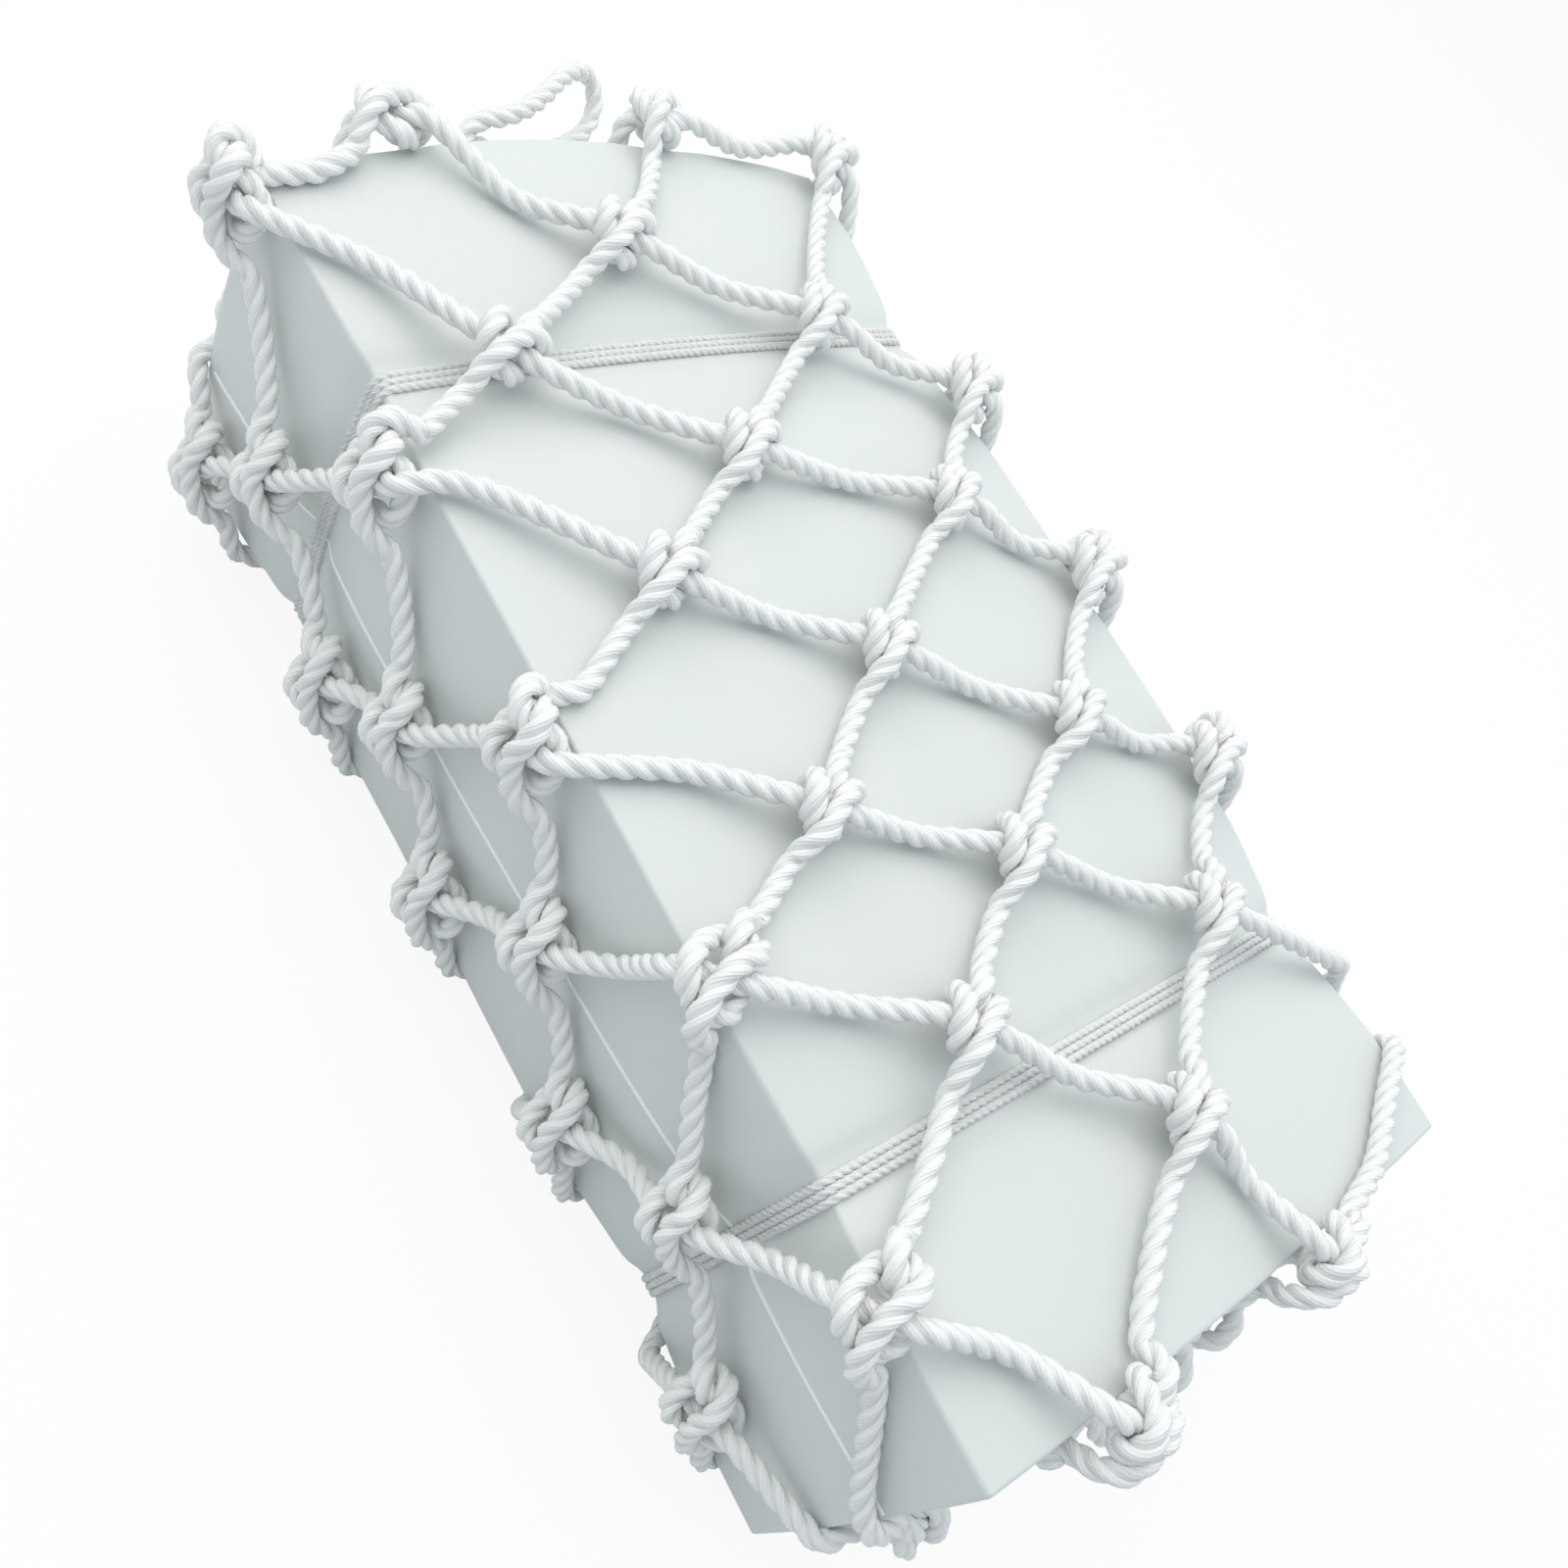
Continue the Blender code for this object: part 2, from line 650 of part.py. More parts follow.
# The rings that gather the net, and the hanging eye


def make_ring(name, side):
    lift = ring_lift()
    points = []
    for end, start in ((1, -90), (-1, 90)):
        for step in range(RING_TURN_STEPS + 1):
            angle = math.radians(start + 180 * step / RING_TURN_STEPS)
            x = end * RING_STRAIGHT / 2 + RING_RADIUS * math.cos(angle)
            points.append(ring_point(side, x, RING_RADIUS * math.sin(angle), lift))
    rings = []
    for k, point in enumerate(points):
        tangent = points[(k + 1) % len(points)] - points[k - 1]
        rings.append(unit_ring(point, tangent, Vector((0, side, 0)), ROPE_RADIUS, ROPE_RADIUS))
    bm = bmesh.new()
    skin_rings(bm, rings, closed_path=True)
    return add_object(name, mesh_from(bm, name), rope_white())


def hinge_point():
    return ring_point(1, 0, RING_RADIUS, ring_lift())


def eye_up():
    lean = math.radians(EYE_LEAN)
    return Vector((0, math.cos(lean), math.sin(lean)))


def eye_front():
    lean = math.radians(EYE_LEAN)
    return Vector((0, -math.sin(lean), math.cos(lean)))


def eye_place(x, height, forward=0.0):
    """A point measured in the eye's own plane, from the middle of the ring's front run."""
    return Vector((x, 0, 0)) + eye_up() * height + eye_front() * forward


def eye_wrap(side):
    """A leg's turn round the ring, from its end, behind, up to where the leg leaves in front."""
    points = []
    for degrees in EYE_WRAP_TURN:
        angle = math.radians(degrees)
        points.append(eye_place(side * EYE_LEG, EYE_WRAP * math.sin(angle), EYE_WRAP * math.cos(angle)))
    return points


def make_eye():
    points = eye_wrap(-1)
    for x, height, forward in EYE_LEFT_LEG + EYE_TIP + EYE_RIGHT_LEG:
        points.append(eye_place(x * MM, height * MM, forward * MM))
    points += reversed(eye_wrap(1))
    normals = []
    turn = len(EYE_WRAP_TURN)
    for k, point in enumerate(points):
        wrapped = k < turn or k >= len(points) - turn
        normals.append(Vector((0, point.y, point.z)) if wrapped else eye_front())
    bm = bmesh.new()
    skin_rings(bm, tube_rings(points, normals, EYE_ROPE / 2, EYE_SIDE_COUNT))
    eye = add_object("hanging_eye", mesh_from(bm, "hanging_eye"), rope_white())
    eye.location = hinge_point()
    return eye


def make_seizing():
    """The whipping that binds the eye's two legs together at its neck."""
    inner = EYE_ROPE / 2 + ROPE_GAP
    ends = (SEIZING_START, SEIZING_START + SEIZING_LENGTH)
    rings = []
    for height, radius in ((ends[0], inner), (ends[0], inner + SEIZING_WALL),
                           (ends[1], inner + SEIZING_WALL), (ends[1], inner)):
        ring = []
        for step in range(SEIZING_SIDE_COUNT):
            angle = 2 * math.pi * (step + 0.5) / SEIZING_SIDE_COUNT
            x = math.copysign(EYE_NECK, math.cos(angle)) + math.cos(angle) * radius
            ring.append(eye_place(x, height, math.sin(angle) * radius))
        rings.append(ring)
    bm = bmesh.new()
    skin_rings(bm, rings, closed_path=True)
    seizing = add_object("eye_seizing", mesh_from(bm, "eye_seizing"), rope_white())
    seizing.location = hinge_point()
    return seizing


def main():
    clear_scene()
    make_slabs()
    make_sleeve()
    make_end_panel("end_panel_top", 1)
    make_end_panel("end_panel_bottom", -1)
    for name, place in zip(("lower", "upper"), BINDING_Y):
        make_binding(f"binding_{name}", place)
        make_binding_knot(f"binding_knot_{name}", place)
    make_net()
    make_ring("gather_ring_top", 1)
    make_ring("gather_ring_bottom", -1)
    make_eye()
    make_seizing()
    print("hinge at", [round(value, 5) for value in hinge_point()])


main()
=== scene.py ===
# %% [markdown]
# # A square boat fender
# The real thing is a block of foam sheets in a white cloth cover. Thin cord is wound round it in two
# places, and the whole is carried in a hand-knotted rope net that is drawn together round a rope ring
# at each end. An eye of the same rope stands up from the top ring, to hang it by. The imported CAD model
# gives every size and place, so the first step is to load it and to note its box.

# %% Load the frame
import math

import bpy
import numpy as np
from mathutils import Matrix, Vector


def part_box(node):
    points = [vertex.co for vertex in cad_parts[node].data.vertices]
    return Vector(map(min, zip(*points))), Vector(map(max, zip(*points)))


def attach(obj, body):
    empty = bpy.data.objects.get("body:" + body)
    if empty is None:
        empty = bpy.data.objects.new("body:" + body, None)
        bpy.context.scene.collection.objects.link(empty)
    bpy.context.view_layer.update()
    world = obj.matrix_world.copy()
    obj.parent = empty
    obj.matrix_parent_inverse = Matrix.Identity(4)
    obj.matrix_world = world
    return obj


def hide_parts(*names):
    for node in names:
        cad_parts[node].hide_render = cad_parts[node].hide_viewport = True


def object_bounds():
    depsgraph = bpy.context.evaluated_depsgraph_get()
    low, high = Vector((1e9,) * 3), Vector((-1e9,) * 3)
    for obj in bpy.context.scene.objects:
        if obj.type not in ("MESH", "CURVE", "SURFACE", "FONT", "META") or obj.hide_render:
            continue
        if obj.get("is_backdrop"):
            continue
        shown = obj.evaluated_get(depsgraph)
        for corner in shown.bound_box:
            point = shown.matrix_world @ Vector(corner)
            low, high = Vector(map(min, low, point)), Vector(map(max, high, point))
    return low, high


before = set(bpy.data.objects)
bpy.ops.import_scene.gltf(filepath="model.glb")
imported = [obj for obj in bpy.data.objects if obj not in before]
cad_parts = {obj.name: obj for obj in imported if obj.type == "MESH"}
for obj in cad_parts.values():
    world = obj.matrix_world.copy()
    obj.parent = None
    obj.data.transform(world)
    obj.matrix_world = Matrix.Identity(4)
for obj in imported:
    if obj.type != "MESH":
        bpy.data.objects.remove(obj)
cad_box = [list(corner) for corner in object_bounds()]
print("CAD box in metres", cad_box)

# %% [markdown]
# The block's driving sizes are the same as in the CAD source, in metres. The frame says where the
# block sits: its back is the sleeve's underside, and the block's middle is half its depth above that.

# %% Driving sizes
MM = 0.001
BODY_WIDTH = 0.325
BODY_LENGTH = 0.600
BODY_DEPTH = 0.180
HALF = np.array([BODY_WIDTH, BODY_LENGTH, BODY_DEPTH]) / 2
EDGE_RADIUS = 0.005
CRISP_RADIUS = 0.0018
FRONT_CROWN = 0.007
SIDE_CROWN = 0.004
END_CROWN_TOP = 0.014
END_CROWN_BOTTOM = 0.002
ROPE = 0.010
sleeve_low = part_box("cover_sleeve")[0]
CENTRE = np.array([0.0, 0.0, sleeve_low.z + BODY_DEPTH / 2])
print("block centre", CENTRE.round(4))

# %% [markdown]
# The camera stands where the photographer stood: above the fender's lower left, looking down along
# it. A wide lens close by gives the strong taper from the near end to the far one. The two small
# shifts keep the picture's frame where the photograph's is.

# %% Camera
SENSOR = 36.0
LENS = 32.2
camera_place = Vector((-0.4463, -0.1734, 0.6294))
camera_right = Vector((0.7554, -0.4833, 0.4426))
camera_up = Vector((0.2962, 0.8542, 0.4272))
lens = bpy.data.cameras.new("camera")
lens.sensor_width = SENSOR
lens.lens = LENS
lens.shift_x = 0.0306
lens.shift_y = 0.0706
lens.clip_start = 0.01
camera = bpy.data.objects.new("camera", lens)
bpy.context.scene.collection.objects.link(camera)
away = camera_right.cross(camera_up)
for row in range(3):
    camera.matrix_world[row][0] = camera_right[row]
    camera.matrix_world[row][1] = camera_up[row]
    camera.matrix_world[row][2] = away[row]
    camera.matrix_world[row][3] = camera_place[row]
bpy.context.scene.camera = camera

# %% [markdown]
# Every surface gets a material made of nodes. A few short helpers keep those trees readable: one
# makes the material with its fixed values, and one adds a node and wires its inputs in a single call.

# %% Helpers for materials


def new_material(name, colour, roughness, **fixed):
    """A Principled material, its tree and its shader, with fixed values on the shader's sockets."""
    made = bpy.data.materials.new(name)
    made.use_nodes = True
    tree = made.node_tree
    shader = tree.nodes["Principled BSDF"]
    shader.inputs["Base Color"].default_value = (*colour, 1.0)
    shader.inputs["Roughness"].default_value = roughness
    for socket, value in fixed.items():
        shader.inputs[socket.replace("_", " ")].default_value = value
    return made, tree, shader


def add_node(tree, kind, inputs=None, **settings):
    """A node with its settings, and its inputs either linked or given a value."""
    node = tree.nodes.new(kind)
    for key, value in settings.items():
        setattr(node, key, value)
    for key, value in (inputs or {}).items():
        if isinstance(value, bpy.types.NodeSocket):
            tree.links.new(value, node.inputs[key])
        else:
            node.inputs[key].default_value = value
    return node


def maths(tree, operation, *values):
    """The output of a Math node."""
    return add_node(tree, "ShaderNodeMath", dict(enumerate(values)), operation=operation).outputs[0]


def blend_colour(tree, share, first, second):
    """A mix of two colours, where the share and the colours are linked or given."""
    node = add_node(tree, "ShaderNodeMix", data_type="RGBA")
    for socket, value in ((node.inputs[0], share), (node.inputs[6], first), (node.inputs[7], second)):
        if isinstance(value, bpy.types.NodeSocket):
            tree.links.new(value, socket)
        else:
            socket.default_value = value if isinstance(value, float) else (*value, 1.0)
    return node.outputs[2]


def add_bump(tree, shader, height, depth, strength):
    """Bumps a shader's surface by a height that the tree works out."""
    bump = add_node(tree, "ShaderNodeBump", {"Height": height, "Distance": depth, "Strength": strength})
    tree.links.new(bump.outputs["Normal"], shader.inputs["Normal"])


# %% [markdown]
# Laid rope is three strands twisted round each other, and each strand is hundreds of fine, silky
# yarns. The strands are real geometry here. The yarns are too fine for that, so they are a bump and a
# slight change of colour, which is partly random fibre tone and partly painted shade between yarns.
# The grooves between the strands are painted darker as well, as painted shade. In a laid rope the yarns
# end up nearly in line with the rope itself, so the pattern is stretched along it. It reads two
# attributes that the rope's own mesh carries: how far along the rope a point is, and where it is on the
# circle round its section. A place on a circle has no seam, as an angle would. Each strand also shows a
# few yarns as ridges.

# %% Rope material
STRANDS = 3.0
YARNS_SEEN = 15
GROOVE_SHADE_SHARPNESS = 4.0
YARN_SHADE = 0.3
YARN_DEPTH = 0.0006
FIBRE_ALONG = 90.0


def rope_material(name, lay, colour, groove_shade, yarns):
    """A laid rope's finish. The second colour is painted shade in the grooves; yarns is how fine the
    fibres are.
    """
    made, tree, shader = new_material(name, colour, 0.4, Sheen_Weight=0.3, Sheen_Roughness=0.35,
                                      Subsurface_Weight=0.2, Subsurface_Scale=0.002,
                                      Subsurface_Radius=(1.0, 1.0, 1.0))
    along = add_node(tree, "ShaderNodeAttribute", attribute_name="along").outputs["Fac"]
    circle = add_node(tree, "ShaderNodeAttribute", attribute_name="around").outputs["Vector"]
    circle = add_node(tree, "ShaderNodeSeparateXYZ", {0: circle}).outputs
    around = maths(tree, "DIVIDE", maths(tree, "ARCTAN2", circle[1], circle[0]), 2 * math.pi)
    turn = maths(tree, "ADD", around, maths(tree, "DIVIDE", along, lay))
    angle = maths(tree, "MULTIPLY", turn, 2 * math.pi)
    place = add_node(tree, "ShaderNodeCombineXYZ", {
        "X": maths(tree, "MULTIPLY", maths(tree, "COSINE", angle), yarns),
        "Y": maths(tree, "MULTIPLY", maths(tree, "SINE", angle), yarns),
        "Z": maths(tree, "MULTIPLY", along, FIBRE_ALONG),
    })
    fibre = add_node(tree, "ShaderNodeTexNoise",
                     {"Vector": place.outputs[0], "Scale": 1.0, "Detail": 3.0, "Roughness": 0.6})
    lobe = maths(tree, "ABSOLUTE", maths(tree, "SUBTRACT", maths(
        tree, "FRACT", maths(tree, "MULTIPLY", around, STRANDS)), 0.5))
    # Painted shade: towards the grooves between strands the colour darkens to the second colour.
    depth = maths(tree, "POWER", maths(tree, "MULTIPLY", lobe, 2.0), GROOVE_SHADE_SHARPNESS)
    strand = blend_colour(tree, depth, colour, groove_shade)
    ridge = maths(tree, "MULTIPLY", maths(tree, "ADD", maths(tree, "COSINE", maths(
        tree, "MULTIPLY", around, 2 * math.pi * YARNS_SEEN)), 1.0), 0.5)
    mottle = maths(tree, "MULTIPLY", maths(tree, "ADD", ridge, fibre.outputs["Fac"]), 0.5)
    # The yarn ridges and fibre noise shift the colour towards the groove colour: random fibre tone and
    # painted shade between yarns.
    yarn_tone_and_shade = blend_colour(tree, maths(tree, "MULTIPLY", mottle, YARN_SHADE), strand, groove_shade)
    tree.links.new(yarn_tone_and_shade, shader.inputs["Base Color"])
    tree.links.new(maths(tree, "ADD", maths(tree, "MULTIPLY", fibre.outputs["Fac"], 0.25), 0.28),
                   shader.inputs["Roughness"])
    add_bump(tree, shader, mottle, YARN_DEPTH, 0.8)
    return made


ROPE_LAY = 0.030
CORD_LAY = 0.0125
# Each rope's second colour is the painted shade in its grooves.
rope_finish = rope_material("net_rope", ROPE_LAY, (0.99, 0.99, 0.98), (0.84, 0.86, 0.85), 16.0)
cord_finish = rope_material("binding_cord", CORD_LAY, (0.97, 0.98, 0.975), (0.91, 0.925, 0.92), 6.0)

# %% [markdown]
# The cover is a smooth, slightly shiny coated cloth. Close up it shows a fine weave, and from further
# off only a soft unevenness. The foam inside hardly shows, but it gets its own pale, matt finish with
# small cells, so that it looks right when the model is opened up.

# %% Cover and foam materials
cover_finish, tree, shader = new_material("cover_fabric", (0.66, 0.69, 0.682), 0.5, Sheen_Weight=0.05)
where = add_node(tree, "ShaderNodeTexCoord").outputs["Object"]
weave = add_node(tree, "ShaderNodeTexVoronoi", {"Vector": where, "Scale": 1400.0}, feature="F1")
drift = add_node(tree, "ShaderNodeTexNoise", {"Vector": where, "Scale": 9.0, "Detail": 3.0})
pale = blend_colour(tree, drift.outputs["Fac"], (0.646, 0.684, 0.68), (0.674, 0.70, 0.686))
tree.links.new(pale, shader.inputs["Base Color"])
tree.links.new(maths(tree, "ADD", maths(tree, "MULTIPLY", drift.outputs["Fac"], 0.16), 0.42),
               shader.inputs["Roughness"])
add_bump(tree, shader, weave.outputs["Distance"], 0.0002, 0.25)

foam_finish, tree, shader = new_material("foam", (0.90, 0.90, 0.88), 0.9)
where = add_node(tree, "ShaderNodeTexCoord").outputs["Object"]
cells = add_node(tree, "ShaderNodeTexVoronoi", {"Vector": where, "Scale": 700.0})
add_bump(tree, shader, cells.outputs["Distance"], 0.0004, 0.5)
for name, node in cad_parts.items():
    if name.startswith("foam_slab"):
        node.data.materials.clear()
        node.data.materials.append(foam_finish)

# %% [markdown]
# Cut across, a laid rope shows three round strands that meet in its middle. Its section is therefore
# a circle whose radius follows a cosine three times round, so that it is full on the back of each
# strand and falls in between two. Each point first notes its place on the round circle, for the
# material.

# %% Section of a laid rope
LOBE_TURN = math.radians(100)


def link_chain(tree, start, *nodes):
    """Links geometry through nodes whose first input and first output carry it."""
    for node in nodes:
        tree.links.new(start, node.inputs[0])
        start = node.outputs[0]
    return start


def rope_section(tree, diameter, sides):
    """Nodes for a closed curve of three lobes."""
    factor = add_node(tree, "GeometryNodeSplineParameter").outputs["Factor"]
    lobe = maths(tree, "SUBTRACT", maths(tree, "FRACT", maths(tree, "MULTIPLY", factor, STRANDS)), 0.5)
    reach = maths(tree, "COSINE", maths(tree, "MULTIPLY", lobe, LOBE_TURN))
    radius = maths(tree, "MULTIPLY", reach, maths(tree, "DIVIDE", diameter, 2.0))
    spot = add_node(tree, "GeometryNodeInputPosition").outputs[0]
    scaled = add_node(tree, "ShaderNodeVectorMath", {0: spot, "Scale": radius}, operation="SCALE")
    circle = add_node(tree, "GeometryNodeCurvePrimitiveCircle", {"Resolution": sides, "Radius": 1.0})
    return link_chain(
        tree, circle.outputs[0],
        add_node(tree, "GeometryNodeStoreNamedAttribute", {"Name": "around", "Value": spot},
                 data_type="FLOAT_VECTOR", domain="POINT"),
        add_node(tree, "GeometryNodeSetPosition", {"Position": scaled.outputs[0]}))


# %% [markdown]
# One Geometry Nodes tree lays every rope and cord of the fender. Its path comes in as a line of
# points. The line becomes a curve with evenly spaced points, its tilt grows with its length, and the
# section is swept along it, so the lobes wind round as strands do. The path's own thickness attribute
# lets an end taper.

# %% Geometry Nodes tree for laid rope
ROPE_INPUTS = {
    "Diameter": "NodeSocketFloat", "Lay": "NodeSocketFloat", "Step": "NodeSocketFloat",
    "Sides": "NodeSocketInt", "Finish": "NodeSocketMaterial",
}


def laid_rope_tree():
    """The tree, with a named input for each size."""
    tree = bpy.data.node_groups.new("laid_rope", "GeometryNodeTree")
    face = tree.interface
    face.new_socket(name="Path", in_out="INPUT", socket_type="NodeSocketGeometry")
    for label, kind in ROPE_INPUTS.items():
        face.new_socket(name=label, in_out="INPUT", socket_type=kind)
    face.new_socket(name="Rope", in_out="OUTPUT", socket_type="NodeSocketGeometry")
    given = tree.nodes.new("NodeGroupInput").outputs
    length = add_node(tree, "GeometryNodeSplineParameter").outputs["Length"]
    thick = add_node(tree, "GeometryNodeInputNamedAttribute", {"Name": "thickness"}, data_type="FLOAT")
    tilt = maths(tree, "DIVIDE", maths(tree, "MULTIPLY", length, 2 * math.pi), given["Lay"])
    path = link_chain(
        tree, given["Path"],
        add_node(tree, "GeometryNodeMeshToCurve"),
        add_node(tree, "GeometryNodeSetCurveRadius", {"Radius": thick.outputs[0]}),
        add_node(tree, "GeometryNodeResampleCurve", {"Length": given["Step"]}, mode="LENGTH"),
        add_node(tree, "GeometryNodeSetCurveNormal", mode="MINIMUM_TWIST"),
        add_node(tree, "GeometryNodeSetCurveTilt", {"Tilt": tilt}),
        add_node(tree, "GeometryNodeStoreNamedAttribute", {"Name": "along", "Value": length},
                 domain="POINT"))
    section = rope_section(tree, given["Diameter"], given["Sides"])
    sweep = add_node(tree, "GeometryNodeCurveToMesh", {"Profile Curve": section, "Fill Caps": True})
    result = link_chain(
        tree, path, sweep,
        add_node(tree, "GeometryNodeSetShadeSmooth"),
        add_node(tree, "GeometryNodeRealizeInstances"),
        add_node(tree, "GeometryNodeSetMaterial", {"Material": given["Finish"]}))
    tree.links.new(result, tree.nodes.new("NodeGroupOutput").inputs[0])
    return tree


rope_tree = laid_rope_tree()
print("rope tree has", len(rope_tree.nodes), "nodes")

# %% [markdown]
# A path in, a finished piece out. The helper turns a list of points into a line of edges, runs the
# tree on it, keeps the result as a plain mesh and takes the modifier away. Rope that lies on the
# ground is pressed flat there, so nothing of it goes under the surface that the fender lies on.

# %% Lay a rope along a path
TAPER_LENGTHS = 1.6


def plain_object(name, mesh):
    """An object for a mesh or a light, put in the scene."""
    made = bpy.data.objects.new(name, mesh)
    bpy.context.scene.collection.objects.link(made)
    return made


def lay_rope(name, path, diameter, lay, step, sides, finish, closed=False, ends=1.0):
    """Rope along a path, which is an array of points. Its ends can thin towards a tip."""
    last = len(path) - 1
    edges = [(k, k + 1) for k in range(last)] + [(last, 0)] * closed
    gone = np.r_[0.0, np.cumsum(np.linalg.norm(np.diff(path, axis=0), axis=1))]
    tip = np.minimum(gone, gone[-1] - gone) / (TAPER_LENGTHS * diameter)
    thickness = ends + (1.0 - ends) * np.clip(tip, 0.0, 1.0)
    line = bpy.data.meshes.new(name + "_path")
    line.from_pydata(path.tolist(), edges, [])
    line.attributes.new("thickness", "FLOAT", "POINT").data.foreach_set("value", thickness)
    made = plain_object(name, line)
    modifier = made.modifiers.new("laid_rope", "NODES")
    modifier.node_group = rope_tree
    values = {"Diameter": diameter, "Lay": lay, "Step": step, "Sides": sides, "Finish": finish}
    for item in rope_tree.interface.items_tree:
        if item.name in values:
            modifier[item.identifier] = values[item.name]
    evaluated = made.evaluated_get(bpy.context.evaluated_depsgraph_get())
    mesh = bpy.data.meshes.new_from_object(evaluated)
    made.modifiers.remove(modifier)
    made.data = mesh
    mesh.name = name
    places = np.zeros(len(mesh.vertices) * 3)
    mesh.vertices.foreach_get("co", places)
    places[2::3] = np.maximum(places[2::3], 0.0)
    mesh.vertices.foreach_set("co", places)
    mesh.update()
    return made


# %% [markdown]
# Every route is a short list of points that a real rigger could point at. A Catmull-Rom curve runs
# through them. The centripetal kind is used, because it doesn't loop or overshoot where two points
# lie close together, as they do in a knot.

# %% Smooth a route


def smooth_path(stops, step):
    """Points about a step apart on a centripetal Catmull-Rom curve through the stops."""
    stops = np.asarray(stops, float)
    ends = 2 * stops[0] - stops[1], 2 * stops[-1] - stops[-2]
    padded = np.vstack([ends[0], stops, ends[1]])
    spans = np.maximum(np.linalg.norm(np.diff(padded, axis=0), axis=1), 1e-6)
    times = np.r_[0.0, np.cumsum(np.sqrt(spans))]
    made = []
    for k in range(1, len(padded) - 2):
        count = max(1, int(np.linalg.norm(padded[k + 1] - padded[k]) / step + 0.5))
        t = np.linspace(times[k], times[k + 1], count, endpoint=False)[:, None]
        t0, t1, t2, t3 = times[k - 1:k + 3]
        p0, p1, p2, p3 = padded[k - 1:k + 3]
        a1 = p0 + (p1 - p0) * (t - t0) / (t1 - t0)
        a2 = p1 + (p2 - p1) * (t - t1) / (t2 - t1)
        a3 = p2 + (p3 - p2) * (t - t2) / (t3 - t2)
        b1 = a1 + (a2 - a1) * (t - t0) / (t2 - t0)
        b2 = a2 + (a3 - a2) * (t - t1) / (t3 - t1)
        made.append(b1 + (b2 - b1) * (t - t1) / (t2 - t1))
    return np.vstack(made + [padded[-2:-1]])


# %% [markdown]
# The cover's surface is a rule, the same one as in the CAD: a box with crisp rounded edges, a front
# that crowns a little, sides and ends that bulge, and a waist where each binding draws it in. The
# rope's routes are measured from that surface, so the rule is written for whole arrays of points.

# %% The block's surface as a rule
BINDING_INSET_LOWER = 0.116
BINDING_INSET_UPPER = 0.110
BINDING_Y = (-HALF[1] + BINDING_INSET_LOWER, HALF[1] - BINDING_INSET_UPPER)
BINDING_PINCH = 0.005
PINCH_REACH = 0.045
GROOVE_DEPTH = 0.0028
GROOVE_HALF = 0.0055
GROOVE_SLOPE = 0.0080
FACING = 0.1


def draw_in(along):
    """How far the bindings pull the surface in."""
    total = 0.0
    for place in BINDING_Y:
        away = np.abs(along - place)
        total = total + BINDING_PINCH * np.exp(-((away / PINCH_REACH) ** 2))
        total = total + GROOVE_DEPTH * np.exp(-((np.maximum(0.0, away - GROOVE_HALF) / GROOVE_SLOPE) ** 2))
    return total


def end_crown(side):
    """How far an end bulges at its middle, which is more at the top than at the bottom."""
    return np.where(np.asarray(side) > 0, END_CROWN_TOP, END_CROWN_BOTTOM)


def surface(sharp, bound=True, radius=EDGE_RADIUS):
    """Points and outward normals for points on the block's sharp box, as arrays of rows."""
    sharp = np.atleast_2d(np.asarray(sharp, float))
    inner = np.clip(sharp, -HALF + radius, HALF - radius)
    normal = sharp - inner
    normal /= np.linalg.norm(normal, axis=1)[:, None]
    across = 1.0 - (sharp[:, 0] / HALF[0]) ** 2
    deep = 1.0 - (sharp[:, 2] / HALF[2]) ** 2
    point = inner + normal * radius
    point[:, 2] += np.where(normal[:, 2] > FACING, FRONT_CROWN * across, 0.0)
    point[:, 0] += np.where(np.abs(normal[:, 0]) > FACING, np.sign(normal[:, 0]) * SIDE_CROWN * deep, 0.0)
    crown = np.sign(normal[:, 1]) * end_crown(normal[:, 1]) * across
    point[:, 1] += np.where(np.abs(normal[:, 1]) > FACING, crown, 0.0)
    if bound:
        pull = draw_in(sharp[:, 1])
        point[:, 0] *= 1.0 - pull / HALF[0]
        point[:, 2] *= 1.0 - pull / HALF[2]
    return CENTRE + point, normal


# %% [markdown]
# The net and the bindings go round the block, so a place on them is best said as a distance walked
# round the girth and a place along the length. These helpers turn that into a point in space.

# %% Places round the girth


def girth_spot(distance):
    """A place on the sharp cross-section, walked from the front left edge over the front face."""
    lengths = (BODY_WIDTH, BODY_DEPTH, BODY_WIDTH, BODY_DEPTH)
    x, z = HALF[0], HALF[2]
    corners = ((-x, z), (x, z), (x, -z), (-x, -z), (-x, z))
    distance %= sum(lengths)
    for side, length in enumerate(lengths):
        if distance <= length:
            break
        distance -= length
    share = min(1.0, distance / length)
    start, end = corners[side], corners[side + 1]
    return start[0] + (end[0] - start[0]) * share, start[1] + (end[1] - start[1]) * share


def past_end(along):
    """How far a place lies past the block's end, or nothing where it doesn't."""
    return max(0.0, abs(along) - HALF[1])


def over_surface(distance, along, lift):
    """A point at a height over the surface as it would be unbound, and the outward normal there.

    A place past the block's end is as far in from the edge, over that end.
    """
    x, z = girth_spot(distance)
    past = past_end(along)
    if abs(x) > HALF[0] - EDGE_RADIUS:
        x -= math.copysign(past, x)
    if abs(z) > HALF[2] - EDGE_RADIUS:
        z -= math.copysign(past, z)
    point, normal = surface((x, min(max(along, -HALF[1]), HALF[1]), z), bound=False)
    return point[0] + normal[0] * lift, normal[0]


# %% [markdown]
# The net's knots stand in twelve columns round the block, in eleven staggered rows. Real nets are
# tied by hand, so each knot strays a little, and those that the photograph shows are placed where it
# shows them: by column and row, so many millimetres on round the block and so many up. Six ropes run
# down one way and six the other, and every knot is where two of them meet.

